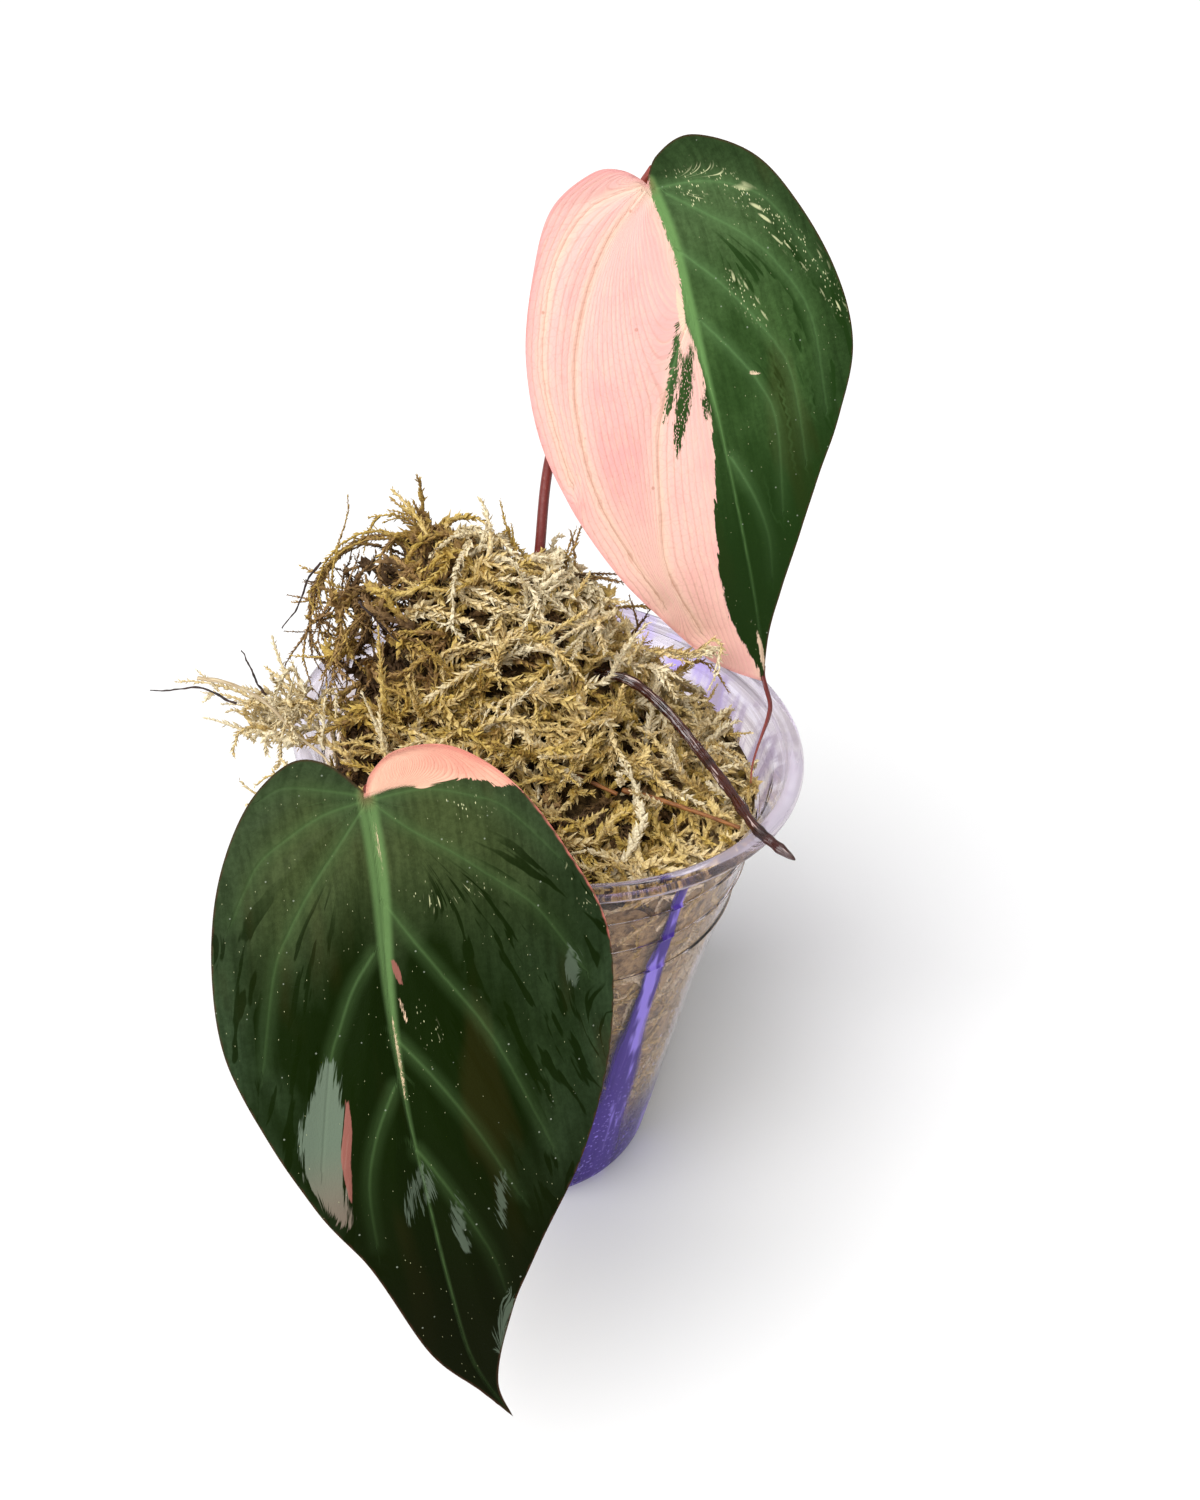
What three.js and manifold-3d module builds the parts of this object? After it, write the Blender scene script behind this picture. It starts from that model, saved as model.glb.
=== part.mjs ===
// A young trailing philodendron in a clear drink cup of dried moss: two heart-shaped leaves on a short length of vine.
// Millimetres, +Z up. The origin is the centre of the cup's base, X runs to the right and Y away from the front leaf.
import * as THREE from 'three';
import { mergeVertices } from 'three/addons/utils/BufferGeometryUtils.js';
import Module from 'manifold-3d';

const wasm = await Module();
wasm.setup();

// Cup
const CUP_SIDES = 40;
const WALL = 0.6;
const WALL_PROFILE = [[4.5, 31.3], [54, 36.6], [83, 40.8], [103, 43.9]];
const BEAD = { radius: 47.3, height: 106.3, section: 1.7 };
const FOOT = { disc: 10, grooveIn: 12.5, grooveOut: 19.5, ringIn: 22, ringOut: 27.5, groove: 1.2 };
const RING_HEIGHTS = [76.5, 85.3, 94];
const RING = { half: 0.8, proud: 0.45 };

// Clearance between neighbouring solids
const GAP = 0.3;

// Moss
const MOSS_FLOOR = 2.3;
const MOSS_EDGE = 101;
const MOSS_RINGS = [41, 36.5, 31.5, 26, 20, 14, 7.5];
const HEAP = { x: -16, y: 10, height: 34, spreadX: 30, spreadY: 19, base: 102, slope: -0.13 };
const LUMPS = 2.4;
const TUFTS = { count: 84, reach: 41.5, shortest: 10, longest: 15, root: 2.9, tip: 0.35, sink: 3.5 };
const STRANDS = { count: 26, shortest: 16, longest: 24, root: 1.9, tip: 0.45, sink: 3.5 };
const STRAY = { root: 1.35, tip: 0.45 };

// Leaves
const BLADE = 0.8;
const LEAF_ROWS = 20;
const LEAF_COLUMNS = 4;
const LOBE_SHARE = 0.4;
const ANCHOR_POWER = 1.9;
const ROW_BULGE = 0.1;
const PILLOW = { height: 0.9, width: 3.5 };
const RIB = { midrib: 1.1, vein: 0.55, end: 0.3 };

// Stems
const STEM_RADIUS = 1.25;
const NODE_RING = { swell: 0.35, width: 1.4 };
const PETIOLE_RADIUS = 1.0;
const ROOT_RADIUS = 0.55;

const v3 = (p) => new THREE.Vector3(...p);
const clamp01 = (x) => Math.min(1, Math.max(0, x));
const smooth = (x) => clamp01(x) ** 2 * (3 - 2 * clamp01(x));

function seeded(seed) {
  let state = seed;
  return () => {
    state = (state * 1664525 + 1013904223) % 4294967296;
    return state / 4294967296;
  };
}

// Merges equal vertices, drops triangles without area and turns the faces outwards.
function closed(geometry) {
  const bare = geometry.clone();
  bare.deleteAttribute('normal');
  bare.deleteAttribute('uv');
  const merged = mergeVertices(bare, 1e-4);
  const source = merged.index.array;
  const kept = [];
  for (let i = 0; i < source.length; i += 3) {
    const [a, b, c] = [source[i], source[i + 1], source[i + 2]];
    if (a !== b && b !== c && c !== a) kept.push(a, b, c);
  }
  merged.setIndex(signedVolume(merged, kept) < 0 ? kept.reverse() : kept);
  return merged;
}

function signedVolume(geometry, index) {
  const p = geometry.attributes.position;
  const corner = (i) => new THREE.Vector3().fromBufferAttribute(p, i);
  let sum = 0;
  for (let i = 0; i < index.length; i += 3) {
    sum += corner(index[i]).dot(corner(index[i + 1]).cross(corner(index[i + 2])));
  }
  return sum / 6;
}

function toSolid(geometry) {
  const body = closed(geometry);
  return new wasm.Manifold(new wasm.Mesh({
    numProp: 3,
    vertProperties: new Float32Array(body.attributes.position.array),
    triVerts: new Uint32Array(body.index.array),
  }));
}

function fromSolid(solid) {
  const mesh = solid.getMesh();
  const geometry = new THREE.BufferGeometry();
  geometry.setAttribute('position', new THREE.Float32BufferAttribute(mesh.vertProperties, 3));
  geometry.setIndex(Array.from(mesh.triVerts));
  return geometry;
}

// The largest of a solid's pieces, without loose scraps or sealed hollows, and without edges too short to see.
function largestPiece(solid, coarseness = 0.03) {
  const pieces = solid.simplify(coarseness).decompose();
  return pieces.reduce((best, piece) => (piece.volume() > best.volume() ? piece : best));
}

function fuse(solids) {
  return solids.reduce((sum, solid) => sum.add(solid));
}

// A round stem along a smooth curve: a cylinder bent onto the curve, with a radius for each place from 0 to 1.
function stem(points, radiusAt, sides, steps) {
  const curve = new THREE.CatmullRomCurve3(points.map(v3), false, 'centripetal');
  const frames = curve.computeFrenetFrames(steps, false);
  const geometry = new THREE.CylinderGeometry(1, 1, 1, sides, steps);
  const position = geometry.attributes.position;
  for (let i = 0; i < position.count; i += 1) {
    const along = position.getY(i) + 0.5;
    const k = Math.round(along * steps);
    const radius = radiusAt(k / steps);
    const place = curve.getPointAt(k / steps)
      .addScaledVector(frames.normals[k], position.getX(i) * radius)
      .addScaledVector(frames.binormals[k], position.getZ(i) * radius);
    position.setXYZ(i, place.x, place.y, place.z);
  }
  return geometry;
}

const taper = (root, tip) => (t) => root + (tip - root) * t;

// Cup

function wallRadius(z) {
  const k = Math.max(1, WALL_PROFILE.findIndex(([height]) => height >= z));
  const [[z0, r0], [z1, r1]] = [WALL_PROFILE[k - 1], WALL_PROFILE[k]];
  return r0 + ((r1 - r0) * (z - z0)) / (z1 - z0);
}

function beadArc(extra = 0) {
  const start = -130;
  const sweep = 290;
  const steps = 6;
  const section = BEAD.section + extra;
  return Array.from({ length: steps + 1 }, (_, k) => {
    const angle = THREE.MathUtils.degToRad(start + (sweep * k) / steps);
    return [BEAD.radius + section * Math.cos(angle), BEAD.height + section * Math.sin(angle)];
  });
}

function ringSteps(z) {
  return [-RING.half, 0, RING.half].map((dz) => [wallRadius(z + dz) + (dz === 0 ? RING.proud : 0), z + dz]);
}

function cupProfile() {
  const [bottom, , , top] = WALL_PROFILE;
  const under = [[0, 0], [FOOT.disc, 0], [FOOT.grooveIn, FOOT.groove], [FOOT.grooveOut, FOOT.groove],
    [FOOT.ringIn, 0], [FOOT.ringOut, 0], [bottom[1] - 1, 1.4], [bottom[1], bottom[0]]];
  const outside = [[WALL_PROFILE[1][1], WALL_PROFILE[1][0]], ...RING_HEIGHTS.flatMap(ringSteps), [top[1], top[0]]];
  const inside = [[top[1] - 0.4, top[0] - 0.4], ...[83, 54].map((z) => [wallRadius(z) - WALL, z]),
    [bottom[1] - WALL, bottom[0] + 0.2], [FOOT.ringOut, WALL + 0.3], [FOOT.ringIn - 0.2, WALL],
    [FOOT.grooveOut + 0.2, FOOT.groove + WALL], [FOOT.grooveIn - 0.2, FOOT.groove + WALL],
    [FOOT.disc - 0.2, WALL], [0, WALL]];
  return [...under, ...outside, ...beadArc(), ...inside].map(([r, z]) => new THREE.Vector2(r, z));
}

function cup() {
  return closed(new THREE.LatheGeometry(cupProfile(), CUP_SIDES).rotateX(Math.PI / 2));
}

// The upper wall and bead with the clearance that the moss keeps to them.
function cupGuard() {
  const top = WALL_PROFILE[3];
  const outer = [83, 96].map((z) => [wallRadius(z) + RING.proud + GAP, z]);
  const inner = [top[0] - 0.4, 83].map((z) => [wallRadius(z) - WALL - GAP, z]);
  const profile = [...outer, [top[1] + GAP, top[0]], ...beadArc(GAP), ...inner, outer[0]];
  return toSolid(new THREE.LatheGeometry(profile.map(([r, z]) => new THREE.Vector2(r, z)), CUP_SIDES)
    .rotateX(Math.PI / 2));
}

// Vine, petioles and dry stalks

const VINE = [[45.6, -33.3, 108.8], [42.5, -30.9, 109.3], [38.9, -26.8, 109.4], [34.2, -17.3, 109.6],
  [28.4, -7.7, 110.6], [19.9, 0.5, 114.6], [12.7, 3.5, 117.4], [4, 5.5, 115.5], [-4, 7, 110], [-9, 6, 102],
  [-11, 2, 94]];
const VINE_NODES = [0.17, 0.36, 0.62, 0.8];
const UPPER_PETIOLE = [[-5.2, 8.5, 108.5], [-5.9, 11.5, 122], [-6.4, 15.1, 137.1], [-6.6, 21.4, 150.5],
  [-3.6, 27.6, 170], [1.2, 32.2, 188], [4.3, 35, 198.3], [5.8, 33.72, 201.5]];
const FRONT_PETIOLE = [[-10.4, 3, 99], [-13.5, -12, 101], [-17.7, -24.2, 106.6], [-19.2, -33.3, 111.6],
  [-22.4, -41.6, 118.2], [-25.42, -47.65, 123.78]];
const ROOTS = [
  [[-3, 7, 110.5], [6, 12, 96], [9, 16, 76], [4, 14, 52]],
  [[-9.5, 5.5, 101], [-20, 2, 88], [-24, -6, 66], [-17, -14, 40]],
  [[-11, 2, 94.5], [-8, -6, 78], [2, -12, 56], [10, -8, 30]],
];
const DRY_STALKS = [
  [[-8.5, -8.5, 106.5], [-2.9, -10.5, 106.3], [4.7, -12.6, 105.6], [14, -14.5, 103.5]],
  [[15, -10.5, 101.5], [22, -13.4, 102.6], [30, -16.5, 103], [37, -19.4, 103.2]],
];

const VINE_LENGTH = new THREE.CatmullRomCurve3(VINE.map(v3), false, 'centripetal').getLength();

function vineRadius(t) {
  const nearest = Math.min(...VINE_NODES.map((at) => Math.abs(t - at))) * VINE_LENGTH;
  return STEM_RADIUS + NODE_RING.swell * Math.exp(-((nearest / NODE_RING.width) ** 2));
}

function vineSolid(extra = 0) {
  const stalk = toSolid(stem(VINE, (t) => vineRadius(t) + extra, 7, 36));
  const roots = ROOTS.map((path) => toSolid(stem(path, (t) => taper(ROOT_RADIUS, 0.4)(t) + extra, 5, 7)));
  return fuse([stalk, ...roots]);
}

function petioleSolid(points, extra = 0) {
  return toSolid(stem(points, (t) => PETIOLE_RADIUS * (1 - 0.12 * t) + extra, 7, 14));
}

function dryStalkSolid(points, extra = 0) {
  return toSolid(stem(points, (t) => taper(0.7, 0.45)(t) + extra, 5, 4));
}

// Moss

function mossHeight(x, y) {
  const across = Math.abs((x - HEAP.x) / HEAP.spreadX) ** 3;
  const back = Math.abs((y - HEAP.y) / HEAP.spreadY) ** 2.2;
  return HEAP.base + HEAP.slope * x + HEAP.height * Math.exp(-across - back);
}

function mossNormal(x, y) {
  const d = 0.5;
  const slopeX = (mossHeight(x + d, y) - mossHeight(x - d, y)) / (2 * d);
  const slopeY = (mossHeight(x, y + d) - mossHeight(x, y - d)) / (2 * d);
  return new THREE.Vector3(-slopeX, -slopeY, 1).normalize();
}

// The dense inside of the moss: it fills the cup and heaps up above it, with a lumpy top.
function mossCore(random) {
  const inner = WALL + GAP;
  const side = [30, 54, 83, MOSS_EDGE].map((z) => [wallRadius(z) - inner, z]);
  const profile = [[0, MOSS_FLOOR], [FOOT.ringOut - 0.5, MOSS_FLOOR], [wallRadius(4.5) - inner - 0.3, 5.5], ...side,
    ...MOSS_RINGS.map((r) => [r, MOSS_EDGE + 1]), [0, MOSS_EDGE + 1]];
  const lathe = new THREE.LatheGeometry(profile.map(([r, z]) => new THREE.Vector2(r, z)), CUP_SIDES);
  const geometry = closed(lathe.rotateX(Math.PI / 2));
  const position = geometry.attributes.position;
  for (let i = 0; i < position.count; i += 1) {
    const [x, y, z] = [position.getX(i), position.getY(i), position.getZ(i)];
    if (z > MOSS_EDGE + 0.5) position.setZ(i, mossHeight(x, y) - LUMPS * (0.5 + random()));
    else if (z > MOSS_EDGE - 0.5) position.setZ(i, Math.min(z, mossHeight(x, y) - 2));
  }
  return toSolid(geometry);
}

// Loose strands that stand well out of the heap, each from its root in the moss to its tip.
const STRAYS = [
  [[-39, -16, 105], [-45, -15, 111], [-53, -11, 112.5], [-63, -8, 114], [-70, -6, 115.5]],
  [[-39, -18, 105], [-45, -17.5, 110.8], [-55, -12.8, 113], [-63.6, -11.5, 113], [-73.5, -11, 111]],
  [[-38, -21, 105], [-44, -20.5, 110.8], [-52.7, -18, 111.2], [-62, -16.5, 110.8], [-69, -18, 107]],
  [[-39, -14, 106], [-44, -13, 112], [-48, -10, 116], [-52.6, -5.3, 119.6], [-54, -3, 121.5]],
  [[-30, -28, 104], [-34, -35, 111], [-44.8, -36.8, 110.8], [-50.7, -38, 105], [-52.6, -40, 100.3]],
  [[-32, -25, 104], [-36.5, -31.5, 111.3], [-44.5, -31.5, 111.3], [-51, -36, 103], [-54.5, -41, 95]],
  [[-26, 10, 130], [-33.7, 13.6, 136], [-42, 14, 133], [-46.5, 10.5, 127.4], [-46, 5, 122], [-40, 2, 117]],
  [[-24, 13, 131], [-32.6, 17.7, 138], [-40, 19.4, 136]],
  [[-27, 2, 125], [-36.8, 6, 129], [-43.8, 6, 125], [-46, 2, 119], [-40, -3, 112]],
  [[-30, 8, 127], [-35.5, 3.5, 127], [-38.5, -2, 122], [-41, -7, 117], [-37, -9, 110]],
  [[-28, 15, 130], [-41, 18, 131], [-48.5, 13.3, 124.4], [-48, 4.8, 116.5], [-39, -4, 111]],
  [[11, 10, 109], [16, 12, 117], [20, 9.5, 121], [25, 6, 122.7], [28.5, 7, 125.5], [30.5, 5, 124], [28.5, 2, 118]],
  [[9, 7, 110], [14, 5, 119], [19, 3, 121], [24, 0, 117], [26, -2, 110]],
  [[-8, 12, 130], [-10.6, 13, 136], [-13.4, 15.6, 141], [-14.8, 17.7, 144]],
  [[-1, 13, 128], [-1.3, 15, 136], [0, 17, 140.5]],
  [[-3, 12, 124], [0, 14, 131], [6, 16.3, 131], [12.4, 19, 129]],
  [[9, 16, 108], [13, 20, 116], [16, 24, 121]],
  [[17, 18, 100], [24, 24, 108], [29, 22, 112], [34, 18, 108]],
];

const KEEP_OUT = [[VINE, 3.2], [UPPER_PETIOLE, 2.6], [FRONT_PETIOLE, 2.6], ...DRY_STALKS.map((path) => [path, 2])]
  .map(([path, room]) => {
    const curve = new THREE.CatmullRomCurve3(path.map(v3), false, 'centripetal');
    return { spots: curve.getSpacedPoints(30), room };
  });

function isFree(point) {
  const r = Math.hypot(point.x, point.y);
  const besideRim = r > 42 && point.z < BEAD.height + BEAD.section + 1.8;
  const nearTip = Math.hypot(point.x - 39.5, point.y + 1) < 8 && point.z > 99;
  const nearPlant = KEEP_OUT.some(({ spots, room }) => spots.some((spot) => spot.distanceTo(point) < room));
  return !(besideRim || nearTip || nearPlant);
}

// A path that leaves the heap at (x, y) and leans to one side: each station is [share along, share outwards].
function heapPath(x, y, length, turn, sink, stations) {
  const normal = mossNormal(x, y);
  const side = new THREE.Vector3(Math.cos(turn), Math.sin(turn), 0).projectOnPlane(normal).normalize();
  const root = new THREE.Vector3(x, y, mossHeight(x, y));
  const below = root.clone().addScaledVector(normal, -sink).toArray();
  const above = stations.map(([along, out]) => root.clone()
    .addScaledVector(side, along * length).addScaledVector(normal, out * length).toArray());
  return [below, ...above];
}

function growFree(path, size, steps) {
  return path.slice(1).every((p) => isFree(v3(p))) ? [toSolid(stem(path, taper(size.root, size.tip), 3, steps))] : [];
}

// Pointed tufts spread evenly over the heap, closer together where it is steep.
function mossTufts(random) {
  const goldenAngle = Math.PI * (3 - Math.sqrt(5));
  return Array.from({ length: TUFTS.count }, (_, k) => {
    const radius = TUFTS.reach * Math.sqrt((k + 0.5) / TUFTS.count);
    const [x, y] = [radius * Math.cos(k * goldenAngle), radius * Math.sin(k * goldenAngle)];
    const copies = Math.min(3, Math.round(1 / mossNormal(x, y).z));
    return Array.from({ length: copies }, () => {
      const length = TUFTS.shortest + (TUFTS.longest - TUFTS.shortest) * random();
      const place = [x + 3 * (random() - 0.5), y + 3 * (random() - 0.5)];
      const path = heapPath(...place, length, 2 * Math.PI * random(), TUFTS.sink, [[0.2, 0.3], [0.75, 0.5]]);
      return growFree(path, TUFTS, 2);
    }).flat();
  }).flat();
}

// Longer strands that rise from the heap in an arch and come back towards it.
function mossStrands(random) {
  return Array.from({ length: STRANDS.count }, () => {
    const [radius, angle] = [TUFTS.reach * Math.sqrt(random()), 2 * Math.PI * random()];
    const length = STRANDS.shortest + (STRANDS.longest - STRANDS.shortest) * random();
    const rise = 0.15 + 0.15 * random();
    const path = heapPath(radius * Math.cos(angle), radius * Math.sin(angle), length, 2 * Math.PI * random(),
      STRANDS.sink, [[0.25, rise], [0.65, rise * 1.2], [1, rise * 0.5]]);
    return growFree(path, STRANDS, 4);
  }).flat();
}

function mossSolid() {
  const random = seeded(20);
  const strays = STRAYS.map((path) => toSolid(stem(path, taper(STRAY.root, STRAY.tip), 3, 6)));
  const grown = fuse([mossCore(random), ...mossTufts(random), ...mossStrands(random), ...strays]).simplify(0.22);
  const holes = [cupGuard(), vineSolid(GAP), petioleSolid(UPPER_PETIOLE, GAP), petioleSolid(FRONT_PETIOLE, GAP),
    ...DRY_STALKS.map((path) => dryStalkSolid(path, GAP))];
  return largestPiece(holes.reduce((solid, hole) => solid.subtract(hole), grown), 0.05);
}

// Leaves. A point of a blade is (along, across) in millimetres from the notch, with along towards the tip.

const FRONT_LEAF = {
  notch: [-25.7, -49.8, 124.5],
  tip: [9.6, -96.9, 34.2],
  face: [0.205, -0.832, 0.515],
  arch: 6,
  lift: [0.1, 0.12],
  droop: [0.0085, 0.0075],
  keel: 0.22,
  left: [[0, 0], [-6, -4.7], [-7.4, -10.4], [-2, -18.3], [8.5, -25.1], [21, -29], [34.7, -30.1], [48.6, -26.7],
    [62, -21.8], [74.3, -15.7], [91, -10.4], [100.9, -4.2], [108, 0]],
  right: [[0, 0], [-3.1, 1.5], [-5.8, 6.3], [-4.3, 14.9], [3.8, 23.2], [16.3, 29.2], [30.8, 33], [48, 29.4],
    [63.8, 21.2], [77.4, 10.3], [89.9, 2.6], [100.2, -1], [108, 0]],
  midrib: [[0, 0], [13.5, -1], [31.5, -3.6], [48, -4.9], [64, -5.1], [80, -5], [95, -4.2], [108, 0]],
  veins: [
    [[0, -1], [-2.2, -6.5], [-3.8, -12.1], [-2.6, -16]],
    [[1, -1], [1.7, -7.4], [4.3, -14], [7.4, -19], [15, -24.6]],
    [[2, -1], [7.4, -6.6], [12.2, -11.5], [17.6, -16], [23.3, -19.8], [38, -25]],
    [[24, -4.5], [28.4, -8.7], [34.1, -12.2], [39.4, -14.9], [56, -20]],
    [[45, -6], [52, -10.5], [60, -13.5], [70, -14.5]],
    [[1, 1.5], [1.2, 8.9], [3.9, 15.8], [7.4, 21], [17.4, 27.7]],
    [[2, 1], [6.7, 5.3], [11.6, 10.8], [16.7, 15.8], [24, 22.2], [36, 27.5]],
    [[17, -1.1], [22.7, 1.5], [28.8, 4.5], [41.8, 10.6], [62, 16]],
    [[38, -4], [46, 0.5], [56, 5], [68, 9]],
    [[56, -5], [64, -1.5], [76, 2.5], [84, 3.5]],
  ],
};

const UPPER_LEAF = {
  notch: [5.3, 31.3, 200],
  tip: [39.8, 11.7, 115.4],
  face: [0.021, -0.972, 0.233],
  arch: 5,
  lift: [0.1, 0.08],
  droop: [0.0065, 0.0115],
  keel: 0.35,
  left: [[0, 0], [-3.2, -3.5], [-4.1, -8.7], [-0.3, -17], [8.9, -22.8], [21.9, -27.9], [36.3, -29.5], [49.4, -27.4],
    [63.2, -22.6], [76, -16], [86.6, -9.2], [93.4, 0]],
  right: [[0, 0], [-4, 2.6], [-5.7, 9.2], [-0.1, 18.8], [9.8, 24.7], [22.7, 28.8], [34.8, 29.1], [45.6, 24.4],
    [57.5, 17], [72.4, 8.6], [82.9, 3.3], [93.4, 0]],
  midrib: [[0, 0], [9.2, 1.6], [26.3, 2.4], [48.3, 2.8], [77.5, 1.9], [93.4, 0]],
  veins: [
    [[0, -1], [1.1, -10.1], [6.9, -17.4], [15, -22.1], [27.7, -26], [46, -26]],
    [[1, -1], [7.4, -9.2], [16.7, -15.8], [25.9, -19.8], [36.8, -22], [52, -21.5], [72.7, -15]],
    [[24, 1], [32, -4], [42, -8.5], [54.5, -11.1], [66, -12.6], [80, -9.5]],
    [[1, 1.3], [1.7, 8.6], [4.3, 15.2], [9.2, 20.5], [22, 26.2]],
    [[2.2, 2.8], [6.6, 8.1], [12, 14.2], [17.8, 18.5], [28, 22.6], [44, 22]],
    [[12, 3], [18, 8], [26, 13], [36, 17], [52, 16.5]],
    [[24.2, 3.9], [29.8, 7.6], [36.4, 11.1], [44.4, 12.7], [60, 10.5]],
    [[48, 3.5], [56, 6], [64, 7], [72, 6]],
  ],
};

// The long curled thread at the upper leaf's tip.
const DRIP_TIP = [[39.5, 12.1, 116.6], [40.3, 10.3, 115], [41.3, 6.6, 113.6], [41.1, 4.3, 112.3], [40.3, 1.3, 110.6],
  [39.4, -1.9, 108.6], [38.8, -5, 106.5], [38.9, -7.3, 104.6]];

const flat = (points) => new THREE.SplineCurve(points.map((p) => new THREE.Vector2(...p)));

function leafFrame(leaf) {
  const origin = v3(leaf.notch);
  const along = v3(leaf.tip).sub(origin);
  const length = along.length();
  along.normalize();
  const normal = v3(leaf.face).projectOnPlane(along).normalize();
  const across = normal.clone().cross(along);
  const midrib = flat(leaf.midrib);
  const ribs = [midrib, ...leaf.veins.map(flat)].map((curve) => curve.getSpacedPoints(40));
  return { origin, along, across, normal, length, midrib, ribs, leaf };
}

function midribAt(frame, a) {
  const spots = frame.ribs[0];
  const k = spots.findIndex((spot) => spot.x > a);
  if (k < 1) return k === 0 ? spots[0].y : spots[spots.length - 1].y;
  const share = (a - spots[k - 1].x) / (spots[k].x - spots[k - 1].x);
  return spots[k - 1].y + share * (spots[k].y - spots[k - 1].y);
}

// How far the blade stands out of its flat frame: arched, drooping to the edges and quilted between the veins.
function bladeHeight(frame, a, b) {
  const { leaf, length, ribs } = frame;
  const share = clamp01(a / length);
  const offset = b - midribAt(frame, a);
  const half = offset < 0 ? 0 : 1;
  const reach = Math.abs(offset);
  const spot = new THREE.Vector2(a, b);
  const nearest = Math.min(...ribs.flat().map((rib) => rib.distanceTo(spot)));
  const bend = leaf.arch * 4 * share * (1 - share) + leaf.lift[half] * reach - leaf.droop[half] * reach ** 2;
  const fold = leaf.keel * reach * smooth((share - 0.7) / 0.3);
  return bend - fold + PILLOW.height * (1 - Math.exp(-((nearest / PILLOW.width) ** 2)));
}

function onBlade(frame, a, b, depth = 0) {
  return frame.origin.clone()
    .addScaledVector(frame.along, a)
    .addScaledVector(frame.across, b)
    .addScaledVector(frame.normal, bladeHeight(frame, a, b) - depth);
}

// One row from the midrib to the edge, in the direction that the side veins take.
function bladeRow(frame, edge, share) {
  const end = edge.getPointAt(share);
  const start = frame.midrib.getPointAt(clamp01((share - LOBE_SHARE) / (1 - LOBE_SHARE)) ** ANCHOR_POWER);
  const middle = start.clone().lerp(end, 0.5);
  middle.x -= ROW_BULGE * start.distanceTo(end);
  const row = new THREE.QuadraticBezierCurve(start, middle, end);
  return Array.from({ length: LEAF_COLUMNS + 1 }, (_, k) => row.getPoint(k / LEAF_COLUMNS));
}

// Half of the blade as a closed plate: the same triangles above and below, joined along its border.
function halfBlade(frame, edgePoints) {
  const edge = flat(edgePoints);
  const rows = Array.from({ length: LEAF_ROWS }, (_, i) => bladeRow(frame, edge, (i + 1) / LEAF_ROWS));
  const spots = rows.flat();
  const places = [0, BLADE].flatMap((depth) => spots.map((p) => onBlade(frame, p.x, p.y, depth)));
  const wide = LEAF_COLUMNS + 1;
  const under = spots.length;
  const index = [];
  const wall = (p, q) => index.push(q, p, p + under, q, p + under, q + under);
  for (let i = 0; i + 1 < LEAF_ROWS; i += 1) {
    for (let j = 0; j < LEAF_COLUMNS; j += 1) {
      const [p, q, r, s] = [i * wide + j, i * wide + j + 1, (i + 1) * wide + j + 1, (i + 1) * wide + j];
      index.push(p, r, q, p, s, r);
      index.push(p + under, q + under, r + under, p + under, r + under, s + under);
    }
    wall(i * wide, (i + 1) * wide);
    wall((i + 2) * wide - 1, (i + 1) * wide - 1);
  }
  for (let j = 0; j < LEAF_COLUMNS; j += 1) {
    wall(j + 1, j);
    wall((LEAF_ROWS - 1) * wide + j, (LEAF_ROWS - 1) * wide + j + 1);
  }
  const geometry = new THREE.BufferGeometry();
  geometry.setAttribute('position', new THREE.Float32BufferAttribute(places.flatMap((p) => p.toArray()), 3));
  geometry.setIndex(index);
  return toSolid(geometry);
}

// A raised rib on the underside of the blade.
function underRib(frame, points, radius) {
  const line = flat(points).getSpacedPoints(5);
  const path = line.map((p) => onBlade(frame, p.x, p.y, BLADE).toArray());
  return toSolid(stem(path, taper(radius, RIB.end), 3, 5));
}

function leafSolid(leaf) {
  const frame = leafFrame(leaf);
  const midrib = underRib(frame, leaf.midrib.slice(0, -1), RIB.midrib);
  const veins = leaf.veins.map((points) => underRib(frame, points, RIB.vein));
  return fuse([halfBlade(frame, leaf.left), halfBlade(frame, leaf.right), midrib, ...veins]);
}

function dripTip() {
  return toSolid(stem(DRIP_TIP, taper(0.75, 0.35), 5, 10));
}

// Assembly

const FINISHES = {
  cup: { color: 0xe6e2f2, roughness: 0.06, metalness: 0, transparent: true, opacity: 0.35 },
  moss: { color: 0xb39a5e, roughness: 0.95, metalness: 0 },
  vine_stem: { color: 0x3d1712, roughness: 0.35, metalness: 0 },
  petiole: { color: 0x7d2e2a, roughness: 0.45, metalness: 0 },
  dry_stalk: { color: 0x9a5f2c, roughness: 0.7, metalness: 0 },
  front_leaf: { color: 0x23401f, roughness: 0.42, metalness: 0 },
  upper_leaf: { color: 0xe9b3a8, roughness: 0.42, metalness: 0 },
};

const plant = new THREE.Group();

function place(name, geometry, finish) {
  const mesh = new THREE.Mesh(geometry, new THREE.MeshStandardMaterial(FINISHES[finish]));
  mesh.name = name;
  plant.add(mesh);
}

place('cup', cup(), 'cup');
place('moss', fromSolid(mossSolid()), 'moss');
place('vine_stem', fromSolid(largestPiece(vineSolid())), 'vine_stem');
place('upper_petiole', fromSolid(largestPiece(petioleSolid(UPPER_PETIOLE).subtract(vineSolid(GAP)))), 'petiole');
place('front_petiole', fromSolid(largestPiece(petioleSolid(FRONT_PETIOLE).subtract(vineSolid(GAP)))), 'petiole');
place('upper_leaf', fromSolid(largestPiece(leafSolid(UPPER_LEAF).add(dripTip()))), 'upper_leaf');
place('front_leaf', fromSolid(largestPiece(leafSolid(FRONT_LEAF))), 'front_leaf');
DRY_STALKS.forEach((path, k) => place(`dry_stalk_${k + 1}`, fromSolid(dryStalkSolid(path)), 'dry_stalk'));

export default plant;
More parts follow.
